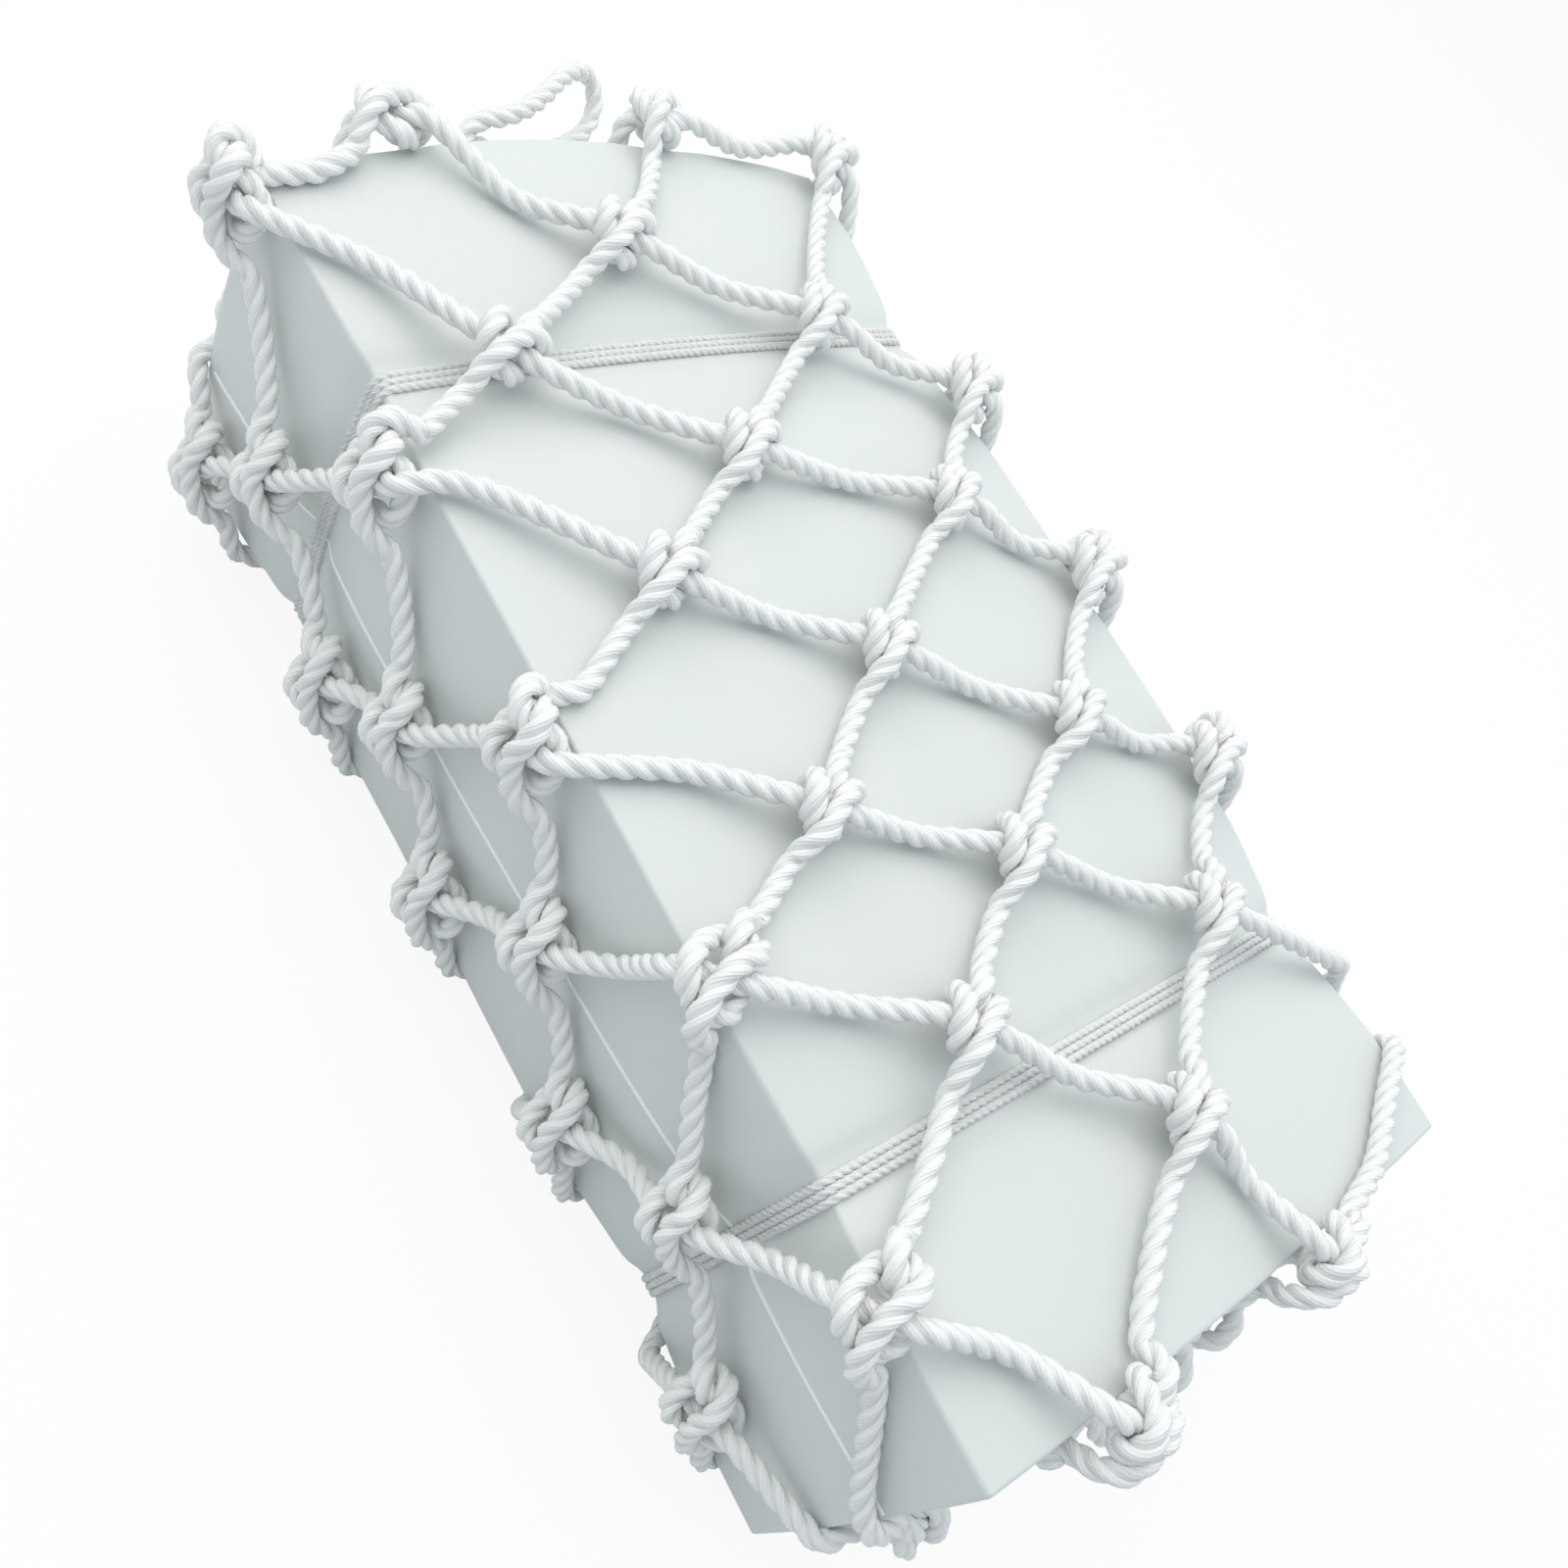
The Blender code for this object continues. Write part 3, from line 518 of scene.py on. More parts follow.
# %% Net layout
ROW_SHARE = (1.0, 0.953, 0.828, 0.72, 0.622, 0.52, 0.42, 0.337, 0.232, 0.117, 0.0)
ROWS = len(ROW_SHARE)
COLUMNS = 12
KNOT_STRAY = {
    (0, 1): (-5, 18), (0, 3): (-10, 13), (0, 5): (-8, 3), (0, 7): (3, -1), (0, 9): (0, 2),
    (1, 0): (-12, 0), (1, 2): (-24, -14), (1, 4): (-11, -10), (1, 6): (-2, -6), (1, 8): (5, 4),
    (1, 10): (-18, 0), (2, 1): (-15, -32), (2, 3): (-16, -16), (2, 5): (-8, -7), (2, 7): (-3, -4),
    (2, 9): (1, 0), (3, 0): (-23, 0), (3, 2): (-4, -12), (3, 4): (8, -2), (3, 6): (-3, -5),
    (3, 8): (5, 0), (3, 10): (-50, 0), (4, 1): (-4, 22), (4, 3): (-8, 2), (4, 5): (-5, 6),
    (4, 7): (-8, 2), (4, 9): (38, -10), (8, 5): (0, -12), (10, 1): (37, -9), (10, 3): (44, -2),
    (10, 5): (40, 2), (10, 7): (52, -9), (10, 9): (48, -10), (11, 0): (0, 26), (11, 2): (3, 14),
    (11, 4): (3, 2), (11, 6): (21, 4), (11, 8): (19, -6), (11, 10): (-10, -30),
}
KNOT_THICKNESS = 0.022
KNOT_GAP = 0.0012
KNOT_LIFT = KNOT_THICKNESS / 2 + KNOT_GAP
KNOT_REACH = 0.0155
ROPE_GAP = 0.0005
UNDER_LIFT = ROPE / 2 + ROPE_GAP
LEG_LIFT = 0.0068
EDGE_FOLD = 0.007


def column_girth(column):
    """How far round the block a column of knots stands, with its laps counted on."""
    turns, within = divmod(column, COLUMNS)
    steps = ([BODY_WIDTH / 4] * 4 + [BODY_DEPTH / 2] * 2) * 2
    return turns * sum(steps) + sum(steps[:within])


def knot_spot(column, row):
    """A knot's distance round the block and its place along it."""
    round_stray, up_stray = KNOT_STRAY.get((column % COLUMNS, row), (0, 0))
    along = -HALF[1] + BODY_LENGTH * ROW_SHARE[row] + up_stray * MM
    return column_girth(column) + round_stray * MM, along


# %% [markdown]
# At each end two ropes meet in a turn round the gather ring, which riggers call a bight: one comes
# over the ring and down inside it, the other comes up to meet it from beneath. The ring lies flat on
# the end, and its turns sit at six places round it.

# %% The gathered ends
RING_STRAIGHT = 0.048
RING_RADIUS = 0.024
HITCH_PITCH = 0.0119
BIGHT_HALF = 0.0054
BIGHT_OUT = 0.017
BIGHT_FALL = -0.3
BIGHT_RISE = 0.0012
BIGHT_OVER = 130
ENTRY_ASIDE = 0.020
ENTRY_INSET = 0.018
RING_LIFT = UNDER_LIFT + HITCH_PITCH
RING_SPOTS = {0: (-1, 135), 2: (0, 90), 4: (1, 45), 6: (1, -45), 8: (0, -90), 10: (-1, -135)}


def end_point(side, x, z, lift, flat=False):
    """A point over an end of the block. Near the ring the heights are level, not crowned."""
    crown = float(end_crown(side)) * (1.0 if flat else 1.0 - (x / HALF[0]) ** 2)
    return CENTRE + np.array([x, side * (HALF[1] + crown + lift), z])


def bight_stops(side, column, knot, turn):
    """A strand's stops over the end, from the middle of its turn round the ring to its edge knot."""
    shift, degrees = RING_SPOTS[column % COLUMNS]
    dx, dz = math.cos(math.radians(degrees)), math.sin(math.radians(degrees))
    rx, rz = shift * RING_STRAIGHT / 2 + RING_RADIUS * dx, RING_RADIUS * dz
    lx, lz = dz * side * turn, -dx * side * turn
    over = turn > 0
    climb = 1 if over else -1
    rounds = [(0, 0.0), (0, BIGHT_RISE), (45, 0.0), (90, 0.0)] + [(BIGHT_OVER, 0.0)] * over
    points = []
    for turned, rise in rounds:
        angle = math.radians(180 - climb * turned)
        out = math.cos(angle) * HITCH_PITCH
        lift = RING_LIFT + math.sin(angle) * HITCH_PITCH + climb * rise
        aside = BIGHT_HALF * min(1.0, turned / 90)
        x, z = rx + dx * out + lx * aside, rz + dz * out + lz * aside
        points.append(end_point(side, x, z, lift, flat=True))
    lift = RING_LIFT + HITCH_PITCH * BIGHT_FALL if over else UNDER_LIFT
    near_x, near_z = rx + dx * BIGHT_OUT + lx * BIGHT_HALF, rz + dz * BIGHT_OUT + lz * BIGHT_HALF
    points.append(end_point(side, near_x, near_z, lift, flat=True))
    x, z = girth_spot(knot[0] - side * turn * ENTRY_ASIDE)
    inset = ENTRY_INSET + past_end(knot[1])
    x = float(np.clip(x, -HALF[0] + inset, HALF[0] - inset))
    z = float(np.clip(z, -HALF[2] + inset, HALF[2] - inset))
    points.append(end_point(side, (near_x + x) / 2, (near_z + z) / 2, UNDER_LIFT))
    points.append(end_point(side, x, z, UNDER_LIFT))
    return [(point, np.array([0.0, side, 0.0]), None) for point in points]


# %% [markdown]
# Between knots a leg runs just clear of the cloth, sagging a little towards it, and it folds over any
# edge in its way. One leg near the lower right corner is slack and bows out over the front.

# %% Stops of a leg
SLACK_LEG = (4, 9)
SLACK_SPOTS = ((291, 24), (258, 7))


def leg_stops(from_spot, to_spot):
    """Stops along one leg: where it folds over an edge, or its sag where it meets none."""
    corners = (0.0, BODY_WIDTH, BODY_WIDTH + BODY_DEPTH, 2 * BODY_WIDTH + BODY_DEPTH)
    girth = column_girth(COLUMNS)
    (start, start_along), (end, end_along) = from_spot, to_spot
    low, high = min(start, end), max(start, end)
    folds = [turns * girth + corner + fold for turns in (-1, 0, 1, 2) for corner in corners
             for fold in (-EDGE_FOLD, 0.0, EDGE_FOLD)]
    shares = [(place - start) / (end - start) for place in folds
              if low + KNOT_REACH < place < high - KNOT_REACH]
    if max(past_end(start_along), past_end(end_along)) > KNOT_REACH:
        reach = KNOT_REACH / math.hypot(end - start, end_along - start_along)
        over = [(math.copysign(HALF[1] + fold, start_along) - start_along) / (end_along - start_along)
                for fold in (-EDGE_FOLD, 0.0, EDGE_FOLD)]
        shares += [share for share in over if reach < share < 1.0 - reach]
    lift = UNDER_LIFT + MM
    if not shares:
        shares, lift = [0.5], LEG_LIFT
    stops = []
    for share in sorted(shares):
        place = (start + (end - start) * share, start_along + (end_along - start_along) * share)
        stops.append((*over_surface(*place, lift), None))
    return stops


def slack_stops(from_spot):
    """The slack leg's stops: its fold over the right edge and its bow over the front face."""
    girth = column_girth(COLUMNS)
    laps = from_spot[0] // girth * girth
    spots = [(laps + distance * MM, up * MM - HALF[1]) for distance, up in SLACK_SPOTS]
    bow = [(*over_surface(*spot, UNDER_LIFT + MM), None) for spot in spots]
    return leg_stops(from_spot, spots[0]) + bow


# %% [markdown]
# A whole rope is then a turn round the top ring, its knots with the legs between them, and a turn
# round the bottom ring. Each stop is a place, the direction out of the surface and, at a knot, its
# row.

# %% One rope's stops


def rope_stops(start_column, turn):
    """Every stop of one rope: its top turn, its knots and the legs between, its bottom turn."""
    spots = [knot_spot(start_column + turn * row, row) for row in range(ROWS)]
    stops = bight_stops(1, start_column - turn, spots[0], turn)
    for row, spot in enumerate(spots):
        column = (start_column + turn * (row - 1)) % COLUMNS
        if turn < 0 and (column, row - 1) == SLACK_LEG:
            stops += slack_stops(spots[row - 1])
        elif row:
            stops += leg_stops(spots[row - 1], spot)
        stops.append((*over_surface(*spot, KNOT_LIFT), row))
    last_column = start_column + turn * (ROWS - 1)
    stops += reversed(bight_stops(-1, last_column + turn, spots[-1], turn))
    return stops


def through(stops, index):
    """The direction of a rope through its knot, in the plane of the surface there."""
    normal = stops[index][1]
    line = stops[index + 1][0] - stops[index - 1][0]
    line = line - normal * line.dot(normal)
    return line / np.linalg.norm(line)


STARTS = range(1, COLUMNS, 2)
straight_stops = [rope_stops(start, 1) for start in STARTS]
knotted_stops = [rope_stops(start, -1) for start in STARTS]
print("stops of the first two ropes", len(straight_stops[0]), len(knotted_stops[0]))

# %% [markdown]
# A rope may press on the cloth but not sink into it. This helper finds how far each point of a path
# is from the block and moves any that is too close straight out.

# %% Keep a path off the cloth


def off_surface(path, least):
    """The path, with every point at least so far from the cloth."""
    place = path - CENTRE
    across = 1.0 - np.clip(place[:, 0] / HALF[0], -1, 1) ** 2
    deep = 1.0 - np.clip(place[:, 2] / HALF[2], -1, 1) ** 2
    reach = np.stack([HALF[0] + SIDE_CROWN * deep, HALF[1] + end_crown(place[:, 1]) * across,
                      HALF[2] + np.where(place[:, 2] > 0, FRONT_CROWN * across, 0.0)], axis=1)
    beyond = np.abs(place) - (reach - CRISP_RADIUS)
    outside = np.maximum(beyond, 0.0)
    far = np.linalg.norm(outside, axis=1)
    short = np.where(far > 1e-6, np.maximum(0.0, least + CRISP_RADIUS - far), 0.0)
    out = outside / np.maximum(far, 1e-6)[:, None] * np.sign(place)
    return path + out * short[:, None]


# %% [markdown]
# The straight ropes run through every knot on their way, so their paths come first. In a knot the
# rope is held straight for about three diameters.

# %% Paths of the straight ropes
STRAIGHT_HALF = 1.5 * ROPE
STRAIGHT_CLEAR = 0.52 * ROPE
KNOT_RISE = 0.0012
STEP = 0.002


def straight_path(stops):
    """A straight rope's path, with a straight run through each knot."""
    points = []
    for index, (place, normal, row) in enumerate(stops):
        if row is None:
            points.append(place)
            continue
        line = through(stops, index)
        middle = place + normal * KNOT_RISE
        points += [middle - line * STRAIGHT_HALF, middle, middle + line * STRAIGHT_HALF]
    return off_surface(smooth_path(points, STEP), STRAIGHT_CLEAR)


straight_paths = [straight_path(stops) for stops in straight_stops]

# %% [markdown]
# The knot is worth the most care, because the net is what one sees. The knotted rope comes down and
# goes under the straight one, turns below it and comes up over it, passes behind its own upper leg,
# and comes down across the front of everything as a slanting band that becomes its lower leg. That
# order is a list of points here, in rope diameters: x along the straight rope, y up the knotted
# rope's upper leg, z out of the surface.

# %% The knot's order of turns
KNOT_TURNS = np.array([
    (0.20, 1.95, 0.25), (0.42, 1.30, -0.10), (0.72, 0.55, -0.70), (0.88, -0.15, -0.95),
    (0.95, -0.95, -0.55), (0.62, -1.65, 0.15), (-0.10, -1.60, 0.05), (-0.85, -0.95, 0.20),
    (-1.15, -0.05, 0.80), (-1.05, 0.75, 0.65), (-0.68, 1.40, 0.20), (-0.10, 1.62, -0.42),
    (0.55, 1.52, -0.15), (0.86, 1.05, 0.50), (0.42, 0.40, 1.05), (-0.12, -0.35, 1.05),
    (-0.45, -1.15, 0.70), (-0.38, -1.95, 0.10),
])
KNOT_EXIT = 2.8

# %% [markdown]
# Points given as a list never fit a real rope's thickness, so each knot is pulled tight by a small
# simulation. In each of its steps the rope straightens a little between its neighbours, as tension
# makes it, and is pushed apart wherever it is closer than its thickness to itself, to the straight
# rope or to the cloth. All the knots are worked at once, as one array.

# %% Tighten the knots
SNUG = 0.93
NEIGHBOURS = 4
PRESSED = 0.42
CLOTH = PRESSED - KNOT_LIFT / ROPE


def even_points(path, count):
    """So many points at even distances along a path."""
    gone = np.r_[0.0, np.cumsum(np.linalg.norm(np.diff(path, axis=0), axis=1))]
    wanted = np.linspace(0.0, gone[-1], count)
    return np.stack([np.interp(wanted, gone, path[:, k]) for k in range(3)], axis=1)


def spread(strand, others, least, skip):
    """The push that moves each point of a strand away from the points of others closer than least."""
    delta = strand[:, :, None] - others[:, None]
    far = np.linalg.norm(delta, axis=3) + 1e-9
    close = far < least
    if skip:
        order = np.arange(strand.shape[1])
        close &= np.abs(order[:, None] - order[None]) >= skip
    push = delta / far[..., None] * np.where(close, least - far, 0.0)[..., None]
    return push.sum(axis=2) / np.maximum(close.sum(axis=2), 1)[..., None]


def tighten(strands, cores, pull, steps):
    """Draws all strands tight round their cores, each by its own pull."""
    for _ in range(steps):
        middle = (strands[:, :-2] + strands[:, 2:]) / 2
        strands[:, 1:-1] += pull[:, None, None] * (middle - strands[:, 1:-1])
        push = 0.5 * spread(strands, strands, SNUG, NEIGHBOURS) + spread(strands, cores, SNUG, 0)
        strands[:, 1:-1] += push[:, 1:-1]
        strands[:, 1:-1, 2] = np.maximum(strands[:, 1:-1, 2], CLOTH)
    return strands


# %% [markdown]
# Each knot starts as the same loose turns, with a little chance in every point, as no two knots tied
# by hand are alike. It is turned to lie along its own two ropes. Its core is the straight rope's own
# path near by, and its ends reach out towards the next stops of its legs. The knots on the block's
# long edges start wider and are pulled less, because the photograph shows them big and loose.

# %% Loose knots
KNOT_STEP = 0.1
KNOT_POINTS = 48
CORE_POINTS = 60
CORE_REACH = 5.0 * ROPE
SPINE_POINTS = 24
FAR_OFF = 99.0
HAND_SEED = 11
HAND_STRAY = 0.05
EXIT_SHARE = 0.9
OPEN = 1.2
PULL = 0.14
SLACK_PULL = 0.10


def knot_axes(normal, top, forward):
    """Square axes that share out the ropes' crossing angle: x forward, y to the top leg, z out."""
    middle = (top + forward) / np.linalg.norm(top + forward)
    aside = np.cross(normal, middle)
    return np.stack([middle - aside, middle + aside, normal * math.sqrt(2)]) / math.sqrt(2)


def at_edge(column):
    """Whether a knot sits on a long edge of the block, where it is left slack."""
    return column in (0, 4, 6, 10)


def knots_of(stops_list):
    """Frames, loose strands and cores for every knot, in rope diameters."""
    every = np.vstack(straight_paths)
    chance = np.random.default_rng(HAND_SEED)
    frames, strands, cores, pull = [], [], [], []
    for start, stops in zip(STARTS, stops_list):
        for index, (place, normal, row) in enumerate(stops):
            if row is None:
                continue
            column = (start - row) % COLUMNS
            distance = np.linalg.norm(every - place, axis=1)
            near = every[np.argsort(distance)[:SPINE_POINTS]]
            spine = near - near.mean(axis=0)
            forward = np.linalg.svd(spine)[2][0]
            top = -through(stops, index)
            if np.dot(np.cross(forward, top), normal) < 0:
                forward = -forward
            axes = knot_axes(normal, top, forward)
            loose = KNOT_TURNS + chance.normal(0.0, HAND_STRAY, KNOT_TURNS.shape)
            exits = []
            for beyond in (index - 1, index + 1):
                leg = axes @ (stops[beyond][0] - place) / ROPE
                exits.append(leg * min(EXIT_SHARE, KNOT_EXIT / np.linalg.norm(leg)))
            loose = np.vstack([exits[0], loose * (OPEN if at_edge(column) else 1.0), exits[1]])
            strands.append(even_points(smooth_path(loose, KNOT_STEP), KNOT_POINTS))
            core = (every[distance < CORE_REACH] - place) @ axes.T / ROPE
            padded = np.full((CORE_POINTS, 3), FAR_OFF)
            padded[:min(CORE_POINTS, len(core))] = core[:CORE_POINTS]
            cores.append(padded)
            frames.append((place, axes))
            pull.append(SLACK_PULL if at_edge(column) else PULL)
    return frames, np.array(strands), np.array(cores), np.array(pull)


# %% [markdown]
# Now all the knots are drawn tight together. The rope that each one takes differs a little, as it
# would by hand.

# %% Tie the knots
TIGHTEN_STEPS = 110
frames, loose, cores, pull = knots_of(knotted_stops)
tight = tighten(loose, cores, pull, TIGHTEN_STEPS)
lengths = np.linalg.norm(np.diff(tight, axis=1), axis=2).sum(axis=1).round(1)
print(len(tight), "knots, rope in each", lengths.min(), "to", lengths.max(), "diameters")

# %% [markdown]
# The knotted ropes are then their legs and their tightened knots in one unbroken path each.

# %% Paths of the knotted ropes
KNOTTED_CLEAR = PRESSED * ROPE
GROUND_CLEAR = 0.46 * ROPE


def knotted_path(stops, first_knot):
    """A knotted rope's path, where first_knot is the number of its top knot."""
    points = []
    knot = first_knot
    for place, _, row in stops:
        if row is None:
            points.append(place)
            continue
        origin, axes = frames[knot]
        points += list(origin + tight[knot] @ axes * ROPE)
        knot += 1
    path = off_surface(smooth_path(points, STEP), KNOTTED_CLEAR)
    path[:, 2] = np.maximum(path[:, 2], GROUND_CLEAR)
    return path


knotted_paths = [knotted_path(stops, index * ROWS) for index, stops in enumerate(knotted_stops)]

# %% [markdown]
# With all paths ready, the rope tree lays the net. Each rope is one piece and takes the place of its
# CAD node.

# %% Lay the net
NET_ROPE = 0.0104
ROPE_STEP = 0.0020
ROPE_SIDES = 18


def length_of(path):
    """A path's length in metres, to a centimetre."""
    return round(float(np.linalg.norm(np.diff(path, axis=0), axis=1).sum()), 2)


for letter, paths in (("a", straight_paths), ("b", knotted_paths)):
    for number, path in enumerate(paths, 1):
        name = f"rope_{letter}{number}"
        rope = lay_rope(name, path, NET_ROPE, ROPE_LAY, ROPE_STEP, ROPE_SIDES, rope_finish)
        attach(rope, "fender")
        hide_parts(f"net_{name}")
    print("laid ropes", letter, "with", len(rope.data.polygons), "faces in the last, lengths in metres",
          [length_of(path) for path in paths])

# %% [markdown]
# A ring of the same rope gathers the turns at each end. Its lay is stretched a little so that the
# strands make a whole number of turns round it and the joint doesn't show.

# %% Gather rings


def ring_path(side):
    """The ring's middle line: two half circles joined by straight runs."""
    path = []
    for end, start in ((1, -90), (-1, 90)):
        for degrees in range(start, start + 181, 10):
            angle = math.radians(degrees)
            x = end * RING_STRAIGHT / 2 + RING_RADIUS * math.cos(angle)
            path.append(end_point(side, x, RING_RADIUS * math.sin(angle), RING_LIFT, flat=True))
    return np.array(path)


ring_round = 2 * RING_STRAIGHT + 2 * math.pi * RING_RADIUS
ring_lay = ring_round / round(ring_round / ROPE_LAY)
for name, side in (("top", 1), ("bottom", -1)):
    ring = lay_rope(f"ring_{name}", ring_path(side), NET_ROPE, ring_lay, ROPE_STEP, ROPE_SIDES,
                    rope_finish, closed=True)
    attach(ring, "fender")
    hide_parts(f"gather_ring_{name}")

# %% [markdown]
# The hanging eye is one length of rope. Each leg goes round the ring and back beside itself, where its
# tip is thinned and tucked away, and the two legs are seized together below the loop. Its route is the
# CAD's, in its own plane that leans forward from the ring.

# %% Hanging eye
EYE_LEAN = math.radians(18.0)
EYE_LEG = 0.0165
EYE_NECK = 0.0054
EYE_WRAP = 0.0122
EYE_WRAP_TURN = (118, 168, 218, 268, 318, 360)
EYE_END_SHARE = 0.45
EYE_LEFT_LEG = ((-16.5, 14, 7), (-11.5, 24, 2.5), (-5.4, 32, 0), (-5.4, 45, 0), (-3.5, 51, 3), (6, 56, 7),
                (20, 57, 10), (36, 62, 11), (52, 71, 11), (67, 81, 10))
EYE_TIP = ((82, 87, 6), (92, 88, 0), (97, 81, -6), (94, 71, -11))
EYE_RIGHT_LEG = ((84, 62, -14), (66, 55, -15), (48, 50, -15), (30, 48, -13), (14, 49, -9), (8, 48.5, -4),
                 (5.4, 45, 0), (5.4, 32, 0), (11.5, 24, 2.5), (16.5, 14, 7))
HINGE = end_point(1, 0.0, RING_RADIUS, RING_LIFT, flat=True)


def eye_place(x, height, forward=0.0):
    """A point in the eye's own leaning plane, measured from its hinge."""
    up = np.array([0.0, math.cos(EYE_LEAN), math.sin(EYE_LEAN)])
    front = np.array([0.0, -math.sin(EYE_LEAN), math.cos(EYE_LEAN)])
    return HINGE + np.array([x, 0.0, 0.0]) + up * height + front * forward


def eye_wrap(side):
    """A leg's turn round the ring, from its tucked end to the foot of the leg."""
    turns = [math.radians(degrees) for degrees in EYE_WRAP_TURN]
    return [eye_place(side * EYE_LEG, EYE_WRAP * math.sin(a), EYE_WRAP * math.cos(a)) for a in turns]


eye_stops = eye_wrap(-1)
for x, height, forward in EYE_LEFT_LEG + EYE_TIP + EYE_RIGHT_LEG:
    eye_stops.append(eye_place(x * MM, height * MM, forward * MM))
eye_stops += reversed(eye_wrap(1))
eye_path = smooth_path(eye_stops, STEP)
eye = lay_rope("eye_rope", eye_path, NET_ROPE, ROPE_LAY, ROPE_STEP, ROPE_SIDES, rope_finish,
               ends=EYE_END_SHARE)
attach(eye, "eye")
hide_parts("hanging_eye")
print("eye rope length in metres", length_of(eye_path))

# %% [markdown]
# A seizing is a small cord wound tightly round both legs. Its path is a helix on an oval: two half
# circles round the legs, joined by straight runs.

# %% Seizing
SEIZING_START = 0.034
SEIZING_LENGTH = 0.009
SEIZING_CORD = 0.0018
SEIZING_TURNS = 4
SEIZING_LAY = 0.009
SEIZING_STEP = 0.0007
TURN_POINTS = 40
CORD_SIDES = 12


def oval_point(share, radius):
    """A point on the oval round the two legs, for a share from 0 to 1 of the way round."""
    arc, straight = math.pi * radius, 2 * EYE_NECK
    gone = (share % 1.0) * (2 * arc + 2 * straight)
    if gone < arc:
        angle = gone / radius - math.pi / 2
        return EYE_NECK + radius * math.cos(angle), radius * math.sin(angle)
    if gone < arc + straight:
        return EYE_NECK - (gone - arc), radius
    if gone < 2 * arc + straight:
        angle = (gone - arc - straight) / radius + math.pi / 2
        return -EYE_NECK + radius * math.cos(angle), radius * math.sin(angle)
    return -EYE_NECK + (gone - 2 * arc - straight), -radius


seizing_path = []
seizing_radius = NET_ROPE / 2 + SEIZING_CORD / 2
for step in range(SEIZING_TURNS * TURN_POINTS + 1):
    turn = step / TURN_POINTS
    x, forward = oval_point(turn, seizing_radius)
    height = SEIZING_START + SEIZING_CORD / 2 + (SEIZING_LENGTH - SEIZING_CORD) * turn / SEIZING_TURNS
    seizing_path.append(eye_place(x, height, forward))
seizing = lay_rope("seizing_cord", np.array(seizing_path), SEIZING_CORD, SEIZING_LAY, SEIZING_STEP,
                   CORD_SIDES, cord_finish)
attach(seizing, "eye")
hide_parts("eye_seizing")

# %% [markdown]
# Each binding is one thin cord wound three times round the block. It steps aside by one pitch on the
# back, where its ends are tied.

# %% Bindings
BINDING_CORD = 0.003
BINDING_TURNS = 3
BINDING_PITCH = 0.0035
BINDING_RISE = 0.4 * BINDING_CORD
GIRTH_POINTS = 400
JOG_SHARE = 0.03
GIRTH_STEP = 0.0025
CORD_LAID = 0.0044
CORD_STEP = 0.0009


def binding_path(place):
    """Three turns round the girth, sunk a little into the cloth, with a step aside after each."""
    girth = column_girth(COLUMNS)
    start = BODY_WIDTH + BODY_DEPTH + BODY_WIDTH / 2
    points = []
    for index in range(BINDING_TURNS):
        shift = (index - (BINDING_TURNS - 1) / 2) * BINDING_PITCH
        for share in np.linspace(0.0, 1.0, GIRTH_POINTS, endpoint=False):
            x, z = girth_spot(start + share * girth)
            jog = BINDING_PITCH * max(0.0, (share - (1.0 - JOG_SHARE)) / JOG_SHARE)
            point, normal = surface((x, place, z))
            point = point[0] + normal[0] * BINDING_RISE
            points.append(point + np.array([0.0, shift + jog, 0.0]))
    return smooth_path(points, GIRTH_STEP)


for name, place in zip(("lower", "upper"), BINDING_Y):
    path = binding_path(place)
    cord = lay_rope(f"binding_cord_{name}", path, CORD_LAID, CORD_LAY, CORD_STEP, CORD_SIDES, cord_finish)
    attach(cord, "fender")
    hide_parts(f"binding_{name}")
    print("binding", name, "has", len(cord.data.polygons), "faces, length in metres", length_of(path))

# %% [markdown]
# The cover is one closed, padded skin. It starts as the outer grid of a box, finer at the edges and
# the bindings. A grid made by loops is closed from the start, and its faces all point outwards.

# %% Grid of the cover
GRID = 0.004
EDGE_MARGIN = 0.010
EDGE_STATIONS = (0.0, 0.0005, 0.0010, 0.0015, 0.0018, 0.0030, 0.0060)


def stations(half, extra=()):
    """Where the grid's lines lie along one axis: even inside, closer at the edges, and the extra ones."""
    inner = np.arange(-half + EDGE_MARGIN, half - EDGE_MARGIN + 0.1 * MM, GRID)
    edges = [sign * (half - inset) for inset in EDGE_STATIONS for sign in (-1, 1)]
    return np.unique(np.round(np.r_[inner, edges, list(extra)], 5))


def box_shell(lines):
    """The outer grid of a box: corners as rows, and faces that point outwards.

    Lines are the grid's places along x, y and z. Each pair of opposite sides is made in turn.
    """
    places, index, faces = [], {}, []

    def corner(axis, level, a, b):
        """The number of a grid corner. Each corner is made once."""
        spot = (level, a, b)[-axis:] + (level, a, b)[:-axis]
        if spot not in index:
            index[spot] = len(places)
            places.append([line[k] for line, k in zip(lines, spot)])
        return index[spot]

    for axis in range(3):
        last, across, deep = (len(lines[(axis + k) % 3]) - 1 for k in range(3))
        for level, outward in ((0, False), (last, True)):
            for a in range(across):
                for b in range(deep):
                    quad = [corner(axis, level, a + right, b + up)
                            for right, up in ((0, 0), (1, 0), (1, 1), (0, 1))]
                    faces.append(quad if outward else quad[::-1])
    return np.array(places), faces


# %% [markdown]
# Then the grid takes the block's surface, and what cloth over foam has: a shallow dent under each
# knot, soft folds where the bindings gather it, and a slow unevenness all over. A cloth simulation
# would round off the crisp foam edges that the photograph shows, so these moves are made by rule.

